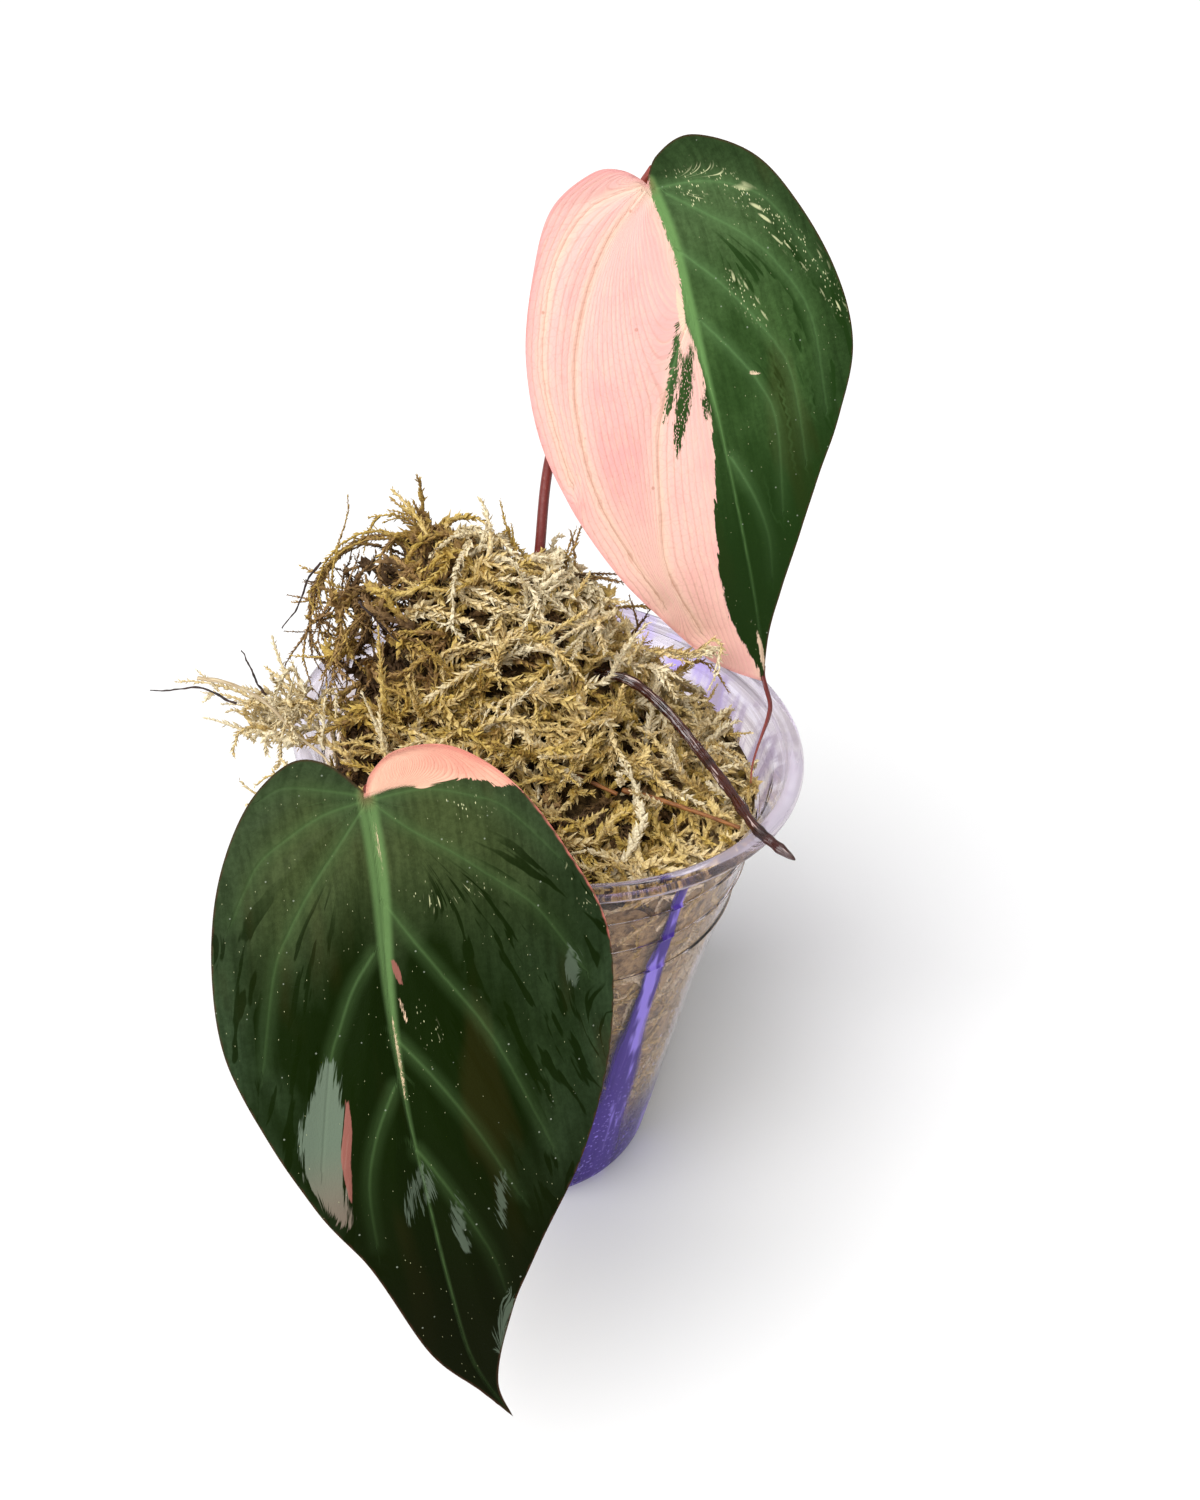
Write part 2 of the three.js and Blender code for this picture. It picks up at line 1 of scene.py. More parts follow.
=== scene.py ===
"""Looks of a young variegated philodendron in a clear drink cup of dried moss.

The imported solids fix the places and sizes. Every length below is in millimetres unless its name says
otherwise, and meshes are written in metres.
"""

import logging
import math
from dataclasses import dataclass
from enum import Enum
from typing import Any, Callable, Sequence

import bmesh
import bpy
import numpy as np
from mathutils import Matrix, Vector
from mathutils.bvhtree import BVHTree


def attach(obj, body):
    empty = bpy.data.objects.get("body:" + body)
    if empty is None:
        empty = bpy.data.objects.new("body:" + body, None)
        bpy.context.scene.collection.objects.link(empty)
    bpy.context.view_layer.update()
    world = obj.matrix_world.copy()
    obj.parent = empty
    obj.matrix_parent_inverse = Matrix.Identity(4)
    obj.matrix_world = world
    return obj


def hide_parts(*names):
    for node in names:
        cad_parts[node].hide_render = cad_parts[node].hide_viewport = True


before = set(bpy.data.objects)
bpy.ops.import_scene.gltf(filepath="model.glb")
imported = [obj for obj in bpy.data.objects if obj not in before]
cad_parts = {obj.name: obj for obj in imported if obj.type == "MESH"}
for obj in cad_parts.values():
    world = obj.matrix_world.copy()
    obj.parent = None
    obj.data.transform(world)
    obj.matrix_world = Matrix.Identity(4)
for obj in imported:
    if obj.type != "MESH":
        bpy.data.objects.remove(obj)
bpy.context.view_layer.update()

LOG = logging.getLogger("plant")
MM = 0.001
GOLDEN_ANGLE = math.pi * (3 - math.sqrt(5))

Array = np.ndarray
Material = bpy.types.Material
Piece = bpy.types.Object
Colour = tuple[float, float, float, float]
Point = tuple[float, float, float]
Path = tuple[Point, ...]
Spot = tuple[float, float]
Outline = tuple[Spot, ...]
Face = tuple[int, ...]
Reach = Callable[[Array, Array], Array]


def paint(red: int, green: int, blue: int) -> Colour:
    """A colour from screen values of 0 to 255, as the linear values that the shaders take."""
    shares = (value / 255 for value in (red, green, blue))
    linear = (share / 12.92 if share <= 0.04045 else ((share + 0.055) / 1.055) ** 2.4 for share in shares)
    return (*linear, 1.0)


# Node trees


def math_node(operation: str, swapped: bool = False) -> Callable[..., "Value"]:
    """A method that adds one Math node.

    Args:
        operation: The node's operation.
        swapped: Whether the other operand comes before the value itself.

    Returns:
        The method, which takes the other operand if the operation has one.
    """

    def apply(value: "Value", *others: "Value | float") -> "Value":
        """Adds the node on the value and the other operand."""
        operands = (*others, value) if swapped else (value, *others)
        return value.tree.node("ShaderNodeMath", {"operation": operation}, dict(enumerate(operands)))

    return apply


class Value:
    """A socket of a node tree that adds Math nodes when it is used in an expression."""

    def __init__(self, tree: "Tree", socket: bpy.types.NodeSocket) -> None:
        """Wraps one output socket of a node in the tree."""
        self.tree = tree
        self.socket = socket

    __add__ = __radd__ = math_node("ADD")
    __sub__ = math_node("SUBTRACT")
    __rsub__ = math_node("SUBTRACT", swapped=True)
    __mul__ = __rmul__ = math_node("MULTIPLY")
    __truediv__ = math_node("DIVIDE")
    __pow__ = math_node("POWER")
    __abs__ = math_node("ABSOLUTE")
    wave = math_node("SINE")
    most = math_node("MAXIMUM")
    least = math_node("MINIMUM")

    def ramp(self, start: float, end: float, low: float = 0.0, high: float = 1.0) -> "Value":
        """Goes smoothly from low at start to high at end, and stays level outside them.

        Args:
            start: The input where the result leaves low.
            end: The input where the result reaches high. It may be less than start.
            low: The result on the start's side.
            high: The result on the end's side.

        Returns:
            The ramped value.
        """
        settings = {"interpolation_type": "SMOOTHSTEP"}
        if start > end:
            start, end, low, high = end, start, high, low
        return self.tree.node("ShaderNodeMapRange", settings, {0: self, 1: start, 2: end, 3: low, 4: high})

    def bell(self, width: float) -> "Value":
        """One where the value is 0, falling off smoothly over the width on both sides."""
        return abs(self).ramp(width, 0.0)

    def twin(self, output: str) -> "Value":
        """Another output of the same node."""
        return Value(self.tree, self.socket.node.outputs[output])


Input = Value | float | str | bool | tuple[float, ...] | bpy.types.ID | None


class Tree:
    """Adds nodes to one tree, of a material or of Geometry Nodes."""

    def __init__(self, nodes: bpy.types.NodeTree) -> None:
        """Keeps the tree that the nodes go to."""
        self.tree = nodes

    def node(
        self,
        kind: str,
        settings: dict[str, Any] | None = None,
        inputs: dict[int | str, Input] | None = None,
        output: int | str = 0,
    ) -> Value:
        """Adds a node.

        Args:
            kind: The node's type.
            settings: Its properties, set before its inputs.
            inputs: A value or a linked value for each named or numbered input socket.
            output: The output socket to return.

        Returns:
            The wrapped output socket.
        """
        made = self.tree.nodes.new(kind)
        for name, value in (settings or {}).items():
            setattr(made, name, value)
        for name, value in (inputs or {}).items():
            if isinstance(value, Value):
                self.tree.links.new(value.socket, made.inputs[name])
            else:
                made.inputs[name].default_value = value
        return Value(self, made.outputs[output])

    def attribute(self, name: str) -> Value:
        """A number that the mesh holds under a name."""
        return self.node("ShaderNodeAttribute", {"attribute_name": name}, output="Fac")

    def place(self) -> Value:
        """The object coordinates, in metres."""
        return self.node("ShaderNodeTexCoord", output="Object")

    def vector(self, x: Input = 0.0, y: Input = 0.0, z: Input = 0.0) -> Value:
        """A vector of three values."""
        return self.node("ShaderNodeCombineXYZ", inputs={0: x, 1: y, 2: z})

    def noise(self, vector: Value, scale: float = 1.0, detail: float = 2.0, rough: float = 0.5) -> Value:
        """Smooth noise around 0.5."""
        inputs = {"Vector": vector, "Scale": scale, "Detail": detail, "Roughness": rough}
        return self.node("ShaderNodeTexNoise", inputs=inputs)

    def grain(self, scale: float, detail: float = 2.0, rough: float = 0.5) -> Value:
        """Smooth noise around 0.5 on the object coordinates, with its scale per metre."""
        return self.noise(self.place(), scale, detail, rough)

    def drawn(self, x: Input, y: Input, z: float = 0.0, detail: float = 2.0, rough: float = 0.5) -> Value:
        """Smooth noise around 0.5 on given coordinates, which draw it out where they change slowly."""
        return self.noise(self.vector(x, y, z), 1.0, detail, rough)

    def cells(self, vector: Value, scale: float, feature: str = "F1", output: str = "Distance") -> Value:
        """A cell pattern: the distance to the nearest cell's middle or edge, or its colour."""
        settings = {"feature": feature}
        return self.node("ShaderNodeTexVoronoi", settings, {"Vector": vector, "Scale": scale}, output)

    def blend(self, share: Input, first: Input, second: Input) -> Value:
        """A colour between two colours."""
        return self.node("ShaderNodeMix", {"data_type": "RGBA"}, {0: share, 6: first, 7: second}, 2)

    def coats(self, colour: Input, *coats: tuple[Input, Input]) -> Value:
        """A colour with others laid over it in turn, each given as its share and its colour."""
        for share, over in coats:
            colour = self.blend(share, colour, over)
        return colour

    def shades(self, place: Value, *stops: tuple[float, Colour]) -> Value:
        """A colour from a ramp, given as places from 0 to 1 with their colours."""
        made = self.node("ShaderNodeValToRGB", inputs={0: place})
        elements = made.socket.node.color_ramp.elements
        for _ in stops[2:]:
            elements.new(1.0)
        for element, (share, colour) in zip(list(elements), stops):
            element.position = share
            element.color = colour
        return made

    def tint(self, share: Input, first: Input, second: Input) -> Value:
        """The first colour multiplied by the second, as far as the share says."""
        settings = {"data_type": "RGBA", "blend_type": "MULTIPLY"}
        return self.node("ShaderNodeMix", settings, {0: share, 6: first, 7: second}, 2)

    def bump(self, height: Value, depth: float, strength: float = 1.0) -> Value:
        """A normal from a height between 0 and 1 that stands for the depth in metres."""
        return self.node("ShaderNodeBump", inputs={"Height": height, "Distance": depth, "Strength": strength})


class Surface(Tree):
    """The node tree of one material."""

    def __init__(self, name: str) -> None:
        """Starts an empty material."""
        self.material = bpy.data.materials.new(name)
        self.material.use_nodes = True
        self.material.node_tree.nodes.clear()
        super().__init__(self.material.node_tree)

    def principled(self, **inputs: Input) -> Value:
        """The Principled shader, with underscores for the spaces in its sockets' names."""
        named = {name.replace("_", " "): value for name, value in inputs.items()}
        return self.node("ShaderNodeBsdfPrincipled", inputs=named)

    def finish(self, shader: Value) -> Material:
        """Connects the shader to the output and returns the material."""
        output = self.tree.nodes.new("ShaderNodeOutputMaterial")
        self.tree.links.new(shader.socket, output.inputs["Surface"])
        return self.material

    def plain(self, **inputs: Input) -> Material:
        """The finished material of one Principled shader."""
        return self.finish(self.principled(**inputs))

    def mixed(self, share: Value, first: Value, second: Value) -> Value:
        """A shader between two shaders."""
        return self.node("ShaderNodeMixShader", inputs={0: share, 1: first, 2: second})

    def fibre(self, along: float, around: float, detail: float = 2.0, rough: float = 0.5) -> Value:
        """Noise drawn out along a rod, with its scale along the rod and around it."""
        x, y = self.attribute("along") * along, self.attribute("around") * around
        return self.drawn(x, y, 0.0, detail, rough)

    def lit_through(self, shader: Value, shade: Colour) -> Material:
        """Connects a clear shader whose shadow only has the shade's colour, and returns the material."""
        shadow = self.node("ShaderNodeBsdfTransparent", inputs={"Color": shade})
        in_shadow = self.node("ShaderNodeLightPath", output="Is Shadow Ray")
        return self.finish(self.mixed(in_shadow, shader, shadow))

    def parts(self, vector: Value) -> tuple[Value, Value, Value]:
        """The x, y and z of a vector."""
        x = self.node("ShaderNodeSeparateXYZ", inputs={0: vector})
        return x, x.twin("Y"), x.twin("Z")


# Curves and meshes


def between(value: Array, start: float, end: float) -> Array:
    """How far a value has come from start to end, from 0 to 1 and level outside them."""
    return np.clip((value - start) / (end - start), 0, 1)


def peak(offset: Array, width: float) -> Array:
    """One where the offset is 0, falling off in a bell over the width."""
    return np.exp(-((offset / width) ** 2))


def unit(vectors: Array) -> Array:
    """Vectors of length 1 with the same headings."""
    return vectors / np.linalg.norm(vectors, axis=-1, keepdims=True)


def distances(places: Array, others: Array) -> Array:
    """The distance from each place, in rows, to each of the others."""
    return np.linalg.norm(places[:, None] - others[None], axis=2)


def around_axis(radius: Array, angle: Array, height: Array) -> Array:
    """Points at a radius and an angle round the Z axis and at a height."""
    return np.stack(np.broadcast_arrays(radius * np.cos(angle), radius * np.sin(angle), height), axis=-1)


def full_turn(count: int) -> Array:
    """Even angles round a full turn."""
    return np.linspace(0, 2 * np.pi, count, endpoint=False)


def even_shares(points: Array, shares: Array) -> Array:
    """Points at shares of the length along a fine polyline."""
    steps = np.linalg.norm(np.diff(points, axis=0), axis=1)
    length = np.concatenate([[0.0], np.cumsum(steps)])
    wanted = np.asarray(shares, float) * length[-1]
    return np.stack([np.interp(wanted, length, points[:, axis]) for axis in range(points.shape[1])], axis=-1)


def curve(points: Sequence[Sequence[float]], shares: Array | int) -> Array:
    """Points along a smooth curve: uniform Catmull-Rom in a plane, centripetal in space.

    Args:
        points: The points that the curve goes through, each of two or three coordinates.
        shares: Places along the curve's length, from 0 to 1, or how many even ones.

    Returns:
        One row for each share.
    """
    given = np.asarray(points, float)
    if given.shape[1] == 2:
        padded = np.vstack([given[:1], given, given[-1:]])
        gaps, fineness = np.ones(len(given) + 1), 40
    else:
        padded = np.vstack([2 * given[0] - given[1], given, 2 * given[-1] - given[-2]])
        gaps, fineness = np.sqrt(np.linalg.norm(np.diff(padded, axis=0), axis=1)), 24
    t = np.linspace(0, 1, fineness, endpoint=False)[:, None]
    pieces = []
    for k in range(1, len(padded) - 2):
        before, start, end, after = padded[k - 1 : k + 3]
        early, middle, late = gaps[k - 1 : k + 2]
        chord = end - start
        leave = chord + middle * ((start - before) / early - (end - before) / (early + middle))
        arrive = chord + middle * ((after - end) / late - (after - start) / (middle + late))
        cubic = (2 * start - 2 * end + leave + arrive) * t**3
        square = (-3 * start + 3 * end - 2 * leave - arrive) * t**2
        pieces.append(cubic + square + leave * t + start)
    wanted = np.linspace(0, 1, shares) if isinstance(shares, int) else shares
    return even_shares(np.vstack([*pieces, given[-1:]]), wanted)


def add_object(name: str, data: bpy.types.ID) -> Piece:
    """Adds an object that shows the data."""
    made = bpy.data.objects.new(name, data)
    bpy.context.scene.collection.objects.link(made)
    return made


def add_mesh(
    name: str, places: Array, faces: Sequence[Face], material: Material, smooth: bool = True
) -> Piece:
    """Adds an object from points in millimetres.

    Args:
        name: The object's name.
        places: One row of x, y, z for each point.
        faces: Point numbers of each face, anticlockwise from outside.
        material: Its finish.
        smooth: Whether the faces are shaded as one smooth surface.

    Returns:
        The object, at the origin.
    """
    mesh = bpy.data.meshes.new(name)
    mesh.from_pydata((np.asarray(places) * MM).tolist(), [], [list(face) for face in faces])
    mesh.polygons.foreach_set("use_smooth", [smooth] * len(mesh.polygons))
    mesh.materials.append(material)
    return add_object(name, mesh)


def store(made: Piece, name: str, values: Array) -> None:
    """Keeps one number for each point of the object's mesh under a name."""
    layer = made.data.attributes.new(name, "FLOAT", "POINT")
    layer.data.foreach_set("value", np.asarray(values, np.float32).ravel())


def weld(made: Piece, sharp_angle: float) -> Piece:
    """Merges points that coincide and keeps edges sharp where faces turn by more than an angle.

    Args:
        made: The object, whose mesh is changed.
        sharp_angle: The angle in degrees.

    Returns:
        The same object.
    """
    work = bmesh.new()
    work.from_mesh(made.data)
    bmesh.ops.remove_doubles(work, verts=work.verts, dist=1e-6)
    bmesh.ops.dissolve_degenerate(work, edges=work.edges, dist=1e-7)
    for edge in work.edges:
        edge.smooth = len(edge.link_faces) != 2 or edge.calc_face_angle(0.0) < math.radians(sharp_angle)
    work.to_mesh(made.data)
    work.free()
    return made


def grid_faces(rows: int, columns: int, round_columns: bool = False) -> list[Face]:
    """Quads of a grid of points.

    Args:
        rows: The number of rows.
        columns: The points in each row.
        round_columns: Whether the last column meets the first.

    Returns:
        The point numbers of each quad.
    """
    wide = columns if round_columns else columns - 1
    pairs = [(j, (j + 1) % columns) for j in range(wide)]
    starts = [row * columns for row in range(rows - 1)]
    return [(k + a, k + b, k + columns + b, k + columns + a) for k in starts for a, b in pairs]


def ride(made: Piece, slot: str, *nodes: str) -> None:
    """Ties a finished piece to the part's body and reports it.

    Args:
        made: The piece.
        slot: The name of its material slot in the record. It is not used.
        nodes: The solids that it stands for.
    """
    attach(made, "root")
    if nodes:
        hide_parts(*nodes)
    LOG.info("%s: %d triangles", made.name, sum(len(face.vertices) - 2 for face in made.data.polygons))


def sweep(name: str, path: Array, radius: Reach, material: Material, sides: int = 20) -> Piece:
    """A closed round rod along a path.

    Args:
        name: The object's name.
        path: The axis, one row for each ring.
        radius: Gives the radius from the share of the length, as a column, and the angle, as a row.
        material: Its finish.
        sides: Points round each ring.

    Returns:
        The object, which stores along (mm), share (0 to 1), around (0 to 1 and back) and cut (1 at its ends).
    """
    tangents = unit(np.gradient(path, axis=0))
    side = np.cross(tangents[0], [0.0, 0.0, 1.0])
    normals = []
    for tangent in tangents:
        side = unit(side - side.dot(tangent) * tangent)
        normals.append(side)
    binormals = np.cross(tangents, normals)
    angle = full_turn(sides)
    share = np.linspace(0, 1, len(path))
    cosine, sine = np.cos(angle)[:, None], np.sin(angle)[:, None]
    outward = cosine * np.array(normals)[:, None] + sine * binormals[:, None]
    rings = path[:, None] + radius(share[:, None], angle[None, :])[:, :, None] * outward
    places = np.vstack([rings.reshape(-1, 3), path[:1], path[-1:]])
    first, last, final_row = len(places) - 2, len(places) - 1, (len(path) - 1) * sides
    faces = grid_faces(len(path), sides, True)
    for j in range(sides):
        after = (j + 1) % sides
        faces += [(first, after, j), (last, final_row + j, final_row + after)]
    made = add_mesh(name, places, faces, material)
    length = np.concatenate([[0.0], np.cumsum(np.linalg.norm(np.diff(path, axis=0), axis=1))])
    turned = np.tile(1 - np.abs(angle / np.pi - 1), len(path))
    for field, values, ends in (
        ("along", np.repeat(length, sides), (0.0, length[-1])),
        ("share", np.repeat(share, sides), (0.0, 1.0)),
        ("around", turned, (0.5, 0.5)),
        ("cut", 0 * turned, (1.0, 1.0)),
    ):
        store(made, field, np.concatenate([values, ends]))
    return made


def join(name: str, parts: Sequence[Piece]) -> Piece:
    """Makes one object of several.

    Args:
        name: The object's name.
        parts: The objects, of which the first is kept.

    Returns:
        The object.
    """
    kept = parts[0]
    if len(parts) > 1:
        for part in bpy.context.selected_objects:
            part.select_set(False)
        for part in parts:
            part.select_set(True)
        bpy.context.view_layer.objects.active = kept
        bpy.ops.object.join()
    kept.name = name
    return kept


# Finishes


@dataclass(frozen=True)
class ClearPlastic:
    """Clear thermoformed plastic with a painted lilac reflection, deepest at the back and right of its top.

    Shadow rays pass, so that what the cup holds is lit.
    """

    clear: Colour = (0.88, 0.83, 0.91, 1.0)
    filled: Colour = (0.92, 0.85, 0.85, 1.0)
    # Painted lilac reflection on the inside of the wall's top, dimmer to the right.
    lilac_reflection: Colour = (0.54, 0.42, 0.93, 1.0)
    dim_reflection: Colour = (0.46, 0.38, 0.45, 1.0)
    # Painted dark reflection lines near the rim.
    dark_line_reflection: Colour = (0.55, 0.48, 0.5, 1.0)
    # Painted highlight along the rim.
    rim: Colour = paint(206, 196, 214)
    # Painted violet reflection strip and its painted glints.
    violet_reflection: Colour = paint(66, 40, 138)
    painted_glint: Colour = paint(150, 128, 232)
    shadow: Colour = (0.93, 0.92, 0.98, 1.0)
    fill_height: Spot = (0.104, 0.1)
    lined_height: Spot = (0.09, 0.098)
    rim_height: Spot = (0.1044, 0.1054)
    reflection_angle: float = -0.873
    reflection_widths: Spot = (0.0066, 0.0014)
    roughness: float = 0.04

    def build(self) -> Material:
        """Makes the material."""
        surface = Surface("cup_clear")
        x, y, z = surface.parts(surface.place())
        streaks = surface.noise(surface.vector(x, y, z * 0.12), 260.0, 3.0)
        # Noise that places the painted dark reflection lines and the painted highlight along the rim.
        lines = surface.noise(surface.vector(x * 0.03, y * 0.03, z), 850.0)
        rim = z.ramp(*self.rim_height)
        # Painted lilac reflection at the back and right of the wall's top.
        reflection_share = (x * 0.8 + y * 0.6).ramp(0.012, 0.034) * z.ramp(0.06, 0.092) * z.ramp(0.106, 0.1035, 0.35, 1.0)
        lilac_reflection = surface.blend((x + (streaks - 0.5) * 0.03).ramp(0.026, 0.042) * 0.9, self.lilac_reflection, self.dim_reflection)
        clear = surface.principled(
            Base_Color=surface.coats(
                self.clear,
                (z.ramp(*self.fill_height), self.filled),
                (lines.ramp(0.5, 0.56) * z.ramp(*self.lined_height) * 0.8, self.dark_line_reflection),
                (reflection_share * streaks.ramp(0.44, 0.58, 0.12, 1.0), lilac_reflection),
            ),
            Roughness=self.roughness,
            IOR=1.05,
            Transmission_Weight=1.0,
            Coat_Weight=0.4,
            Coat_Roughness=0.04,
            Coat_IOR=1.45,
            Normal=surface.bump(surface.grain(55.0), 0.0002, 0.35),
        )
        # Painted glints low on the wall.
        painted_sparkle = surface.grain(1100.0).ramp(0.58, 0.68) * z.ramp(0.05, 0.02)
        reflected_colour = surface.blend(streaks.ramp(0.54, 0.64).most(painted_sparkle), self.violet_reflection, self.painted_glint)
        # Painted violet reflection, with the painted highlight along the rim.
        reflection_shader = surface.principled(
            Base_Color=surface.blend(rim, reflected_colour, self.rim), Roughness=0.3, Specular_IOR_Level=0.12
        )
        # Where the painted violet reflection and the painted rim highlight cover the clear plastic.
        painted_light_share = self._reflection_strip(x, y, z, streaks).most(rim * lines.ramp(0.48, 0.42, 0.02, 0.5))
        return surface.lit_through(surface.mixed(painted_light_share, clear, reflection_shader), self.shadow)

    def _reflection_strip(self, x: Value, y: Value, z: Value, streaks: Value) -> Value:
        """Where the painted violet reflection strip down the front right of the wall is, widest at the base.

        Args:
            x: The place to the right.
            y: The place to the back.
            z: The height.
            streaks: Upright streaks that fray the strip.

        Returns:
            The share of the plastic that the strip covers.
        """
        ahead = (math.cos(self.reflection_angle), math.sin(self.reflection_angle))
        out = x * ahead[0] + y * ahead[1]
        off = abs(y * ahead[0] - x * ahead[1] + (streaks - 0.5) * 0.004)
        band = (off / z.ramp(0.0, 0.1, *self.reflection_widths)).ramp(1.1, 0.6) * out.ramp(0.0, 0.01)
        # Painted violet reflection spread low on the wall beside the strip.
        low = z.ramp(0.03, 0.006) * out.ramp(0.02, 0.029) * 0.8
        return band.most(low) * streaks.ramp(0.3, 0.5, 0.75, 0.98) * z.ramp(0.103, 0.096)


@dataclass(frozen=True)
class WaterDrops:
    """Condensation on the inside of the cup."""

    clear: Colour = (0.93, 0.91, 1.0, 1.0)
    shadow: Colour = (0.96, 0.96, 1.0, 1.0)
    roughness: float = 0.02

    def build(self) -> Material:
        """Makes the material."""
        surface = Surface("water_drops")
        water = surface.principled(
            Base_Color=self.clear, Roughness=self.roughness, IOR=1.33, Transmission_Weight=1.0
        )
        return surface.lit_through(water, self.shadow)


@dataclass(frozen=True)
class DriedMoss:
    """Dried moss strands, from dark brown over olive to straw by their stored hue, with paler tips."""

    brown: Colour = paint(98, 74, 48)
    tan: Colour = paint(174, 140, 92)
    olive: Colour = paint(214, 184, 92)
    straw: Colour = paint(240, 216, 154)
    pale: Colour = paint(252, 240, 204)
    speck: Colour = paint(128, 100, 66)

    def build(self) -> Material:
        """Makes the material."""
        surface = Surface("dried_moss")
        mottled = surface.grain(230.0, 3.0)
        # The stored hue carries painted shade on the deeper and lower strands and painted light on the top
        # layer.
        place = surface.attribute("hue") + (mottled - 0.5) * 0.6 + surface.attribute("tip") * 0.12
        dark = ((0.0, self.brown), (0.28, self.tan), (0.52, self.olive))
        colour = surface.shades(place, *dark, (0.8, self.straw), (1.0, self.pale))
        fine = surface.grain(2400.0)
        return surface.plain(
            Base_Color=surface.tint(fine.ramp(0.7, 0.3, 0.0, 0.5), colour, self.speck),
            Roughness=0.8,
            Specular_IOR_Level=0.3,
            Normal=surface.bump(fine, 0.0002, 0.6),
        )


@dataclass(frozen=True)
class MossBed:
    """The inside of the moss, between and under its strands, painted dark near its top as shade and paler
    where it is pressed against the wall.
    """

    # Painted shade deep in the moss, where it shows between the strands.
    shade: Colour = paint(50, 35, 18)
    light: Colour = paint(132, 104, 60)
    pressed: Colour = paint(104, 82, 56)
    straw: Colour = paint(194, 166, 120)
    pressed_height: Spot = (0.1, 0.092)

    def build(self) -> Material:
        """Makes the material."""
        surface = Surface("moss_bed")
        tangle = surface.grain(420.0, 5.0, 0.7)
        _, _, z = surface.parts(surface.place())
        patches = (tangle * 0.7 + surface.grain(90.0) * 0.3).ramp(0.45, 0.68)
        deep = surface.blend(patches, self.shade, self.light)
        pressed = surface.blend(tangle.ramp(0.35, 0.6), self.pressed, self.straw)
        return surface.plain(
            Base_Color=surface.blend(z.ramp(*self.pressed_height), deep, pressed),
            Roughness=0.95,
            Specular_IOR_Level=0.15,
            Normal=surface.bump(tangle, 0.0012, 1.0),
        )


@dataclass(frozen=True)
class WoodyBark:
    """Dark reddish-brown skin of an old vine: ridged along, with painted silvery highlights on its ridges and
    a pale cut end.
    """

    skin: Colour = paint(62, 21, 15)
    ridge_highlight: Colour = paint(216, 192, 186)
    wood: Colour = paint(214, 170, 120)
    dark: Colour = paint(96, 66, 64)

    def build(self) -> Material:
        """Makes the material."""
        surface = Surface("vine_bark")
        fine = surface.fibre(0.14, 4.5, 3.0, 0.6)
        # Painted silvery highlights along the ridges.
        skin = surface.blend(fine.ramp(0.59, 0.63) * 0.8, self.skin, self.ridge_highlight)
        bands = surface.drawn(surface.attribute("along") * 0.2, 0.0).ramp(0.5, 0.65, 0.0, 0.7)
        bark = surface.tint(bands, skin, self.dark)
        return surface.plain(
            Base_Color=surface.blend(surface.attribute("cut").ramp(0.2, 0.8), bark, self.wood),
            Roughness=fine.ramp(0.3, 0.7, 0.16, 0.4),
            Specular_IOR_Level=0.7,
            Coat_Weight=0.4,
            Coat_Roughness=0.12,
            Normal=surface.bump(fine, 0.0006, 0.8),
        )


@dataclass(frozen=True)
class PetioleSkin:
    """Reddish skin of a leaf stalk, darker towards its foot, with fine lengthwise flecks."""

    low: Colour = paint(104, 34, 32)
    high: Colour = paint(140, 58, 46)
    fleck: Colour = paint(176, 100, 84)

    def build(self) -> Material:
        """Makes the material."""
        surface = Surface("petiole_skin")
        grain = surface.grain(1500.0)
        flecks = (surface.fibre(0.5, 8.0) * 0.5 + grain * 0.5).ramp(0.56, 0.72) * 0.5
        share = surface.attribute("share").ramp(0.1, 1.0)
        return surface.plain(
            Base_Color=surface.coats(self.low, (share, self.high), (flecks, self.fleck)),
            Roughness=0.42,
            Normal=surface.bump(grain, 0.00012, 0.5),
        )


@dataclass(frozen=True)
class DryStalkSkin:
    """Dry stalk, orange-brown unless told otherwise, with darker lengthwise fibres."""

    name: str = "dry_stalk_skin"
    light: Colour = paint(172, 112, 58)
    dark: Colour = paint(104, 60, 30)

    def build(self) -> Material:
        """Makes the material."""
        surface = Surface(self.name)
        fibre = surface.fibre(0.4, 9.0, 3.0)
        return surface.plain(
            Base_Color=surface.blend(fibre.ramp(0.35, 0.65), self.dark, self.light),
            Roughness=0.62,
            Normal=surface.bump(fibre, 0.0002, 0.6),
        )


@dataclass(frozen=True)
class LeafColours:
    """Colours of a variegated leaf."""

    lobe: Colour
    green: Colour
    # Painted sheen along the margin on the front blade, painted shade along the margin on the upper blade.
    margin_sheen_shade: Colour
    deep: Colour
    # Painted shade that darkens the blade towards its tip.
    tip: Colour
    vein: Colour
    midrib: Colour
    pink: Colour
    far_pink: Colour
    blush: Colour
    cream: Colour
    line: Colour
    rust: Colour = paint(66, 50, 22)
    edge: Colour = paint(74, 48, 36)
    notch: Colour = paint(124, 92, 66)
    grain: Colour = paint(150, 156, 140)
    fleck: Colour = paint(206, 208, 160)
    speck: Colour = paint(170, 178, 160)
    # Painted reflections on the skin: grey-green patches, with a pinkish lower part on the large one.
    pale: Colour = paint(108, 122, 104)
    low_reflection: Colour = paint(132, 112, 100)
    dull_pink: Colour = paint(150, 94, 84)
    under_green: Colour = paint(92, 88, 62)
    under_pink: Colour = paint(214, 158, 140)
    under_vein: Colour = paint(150, 120, 96)


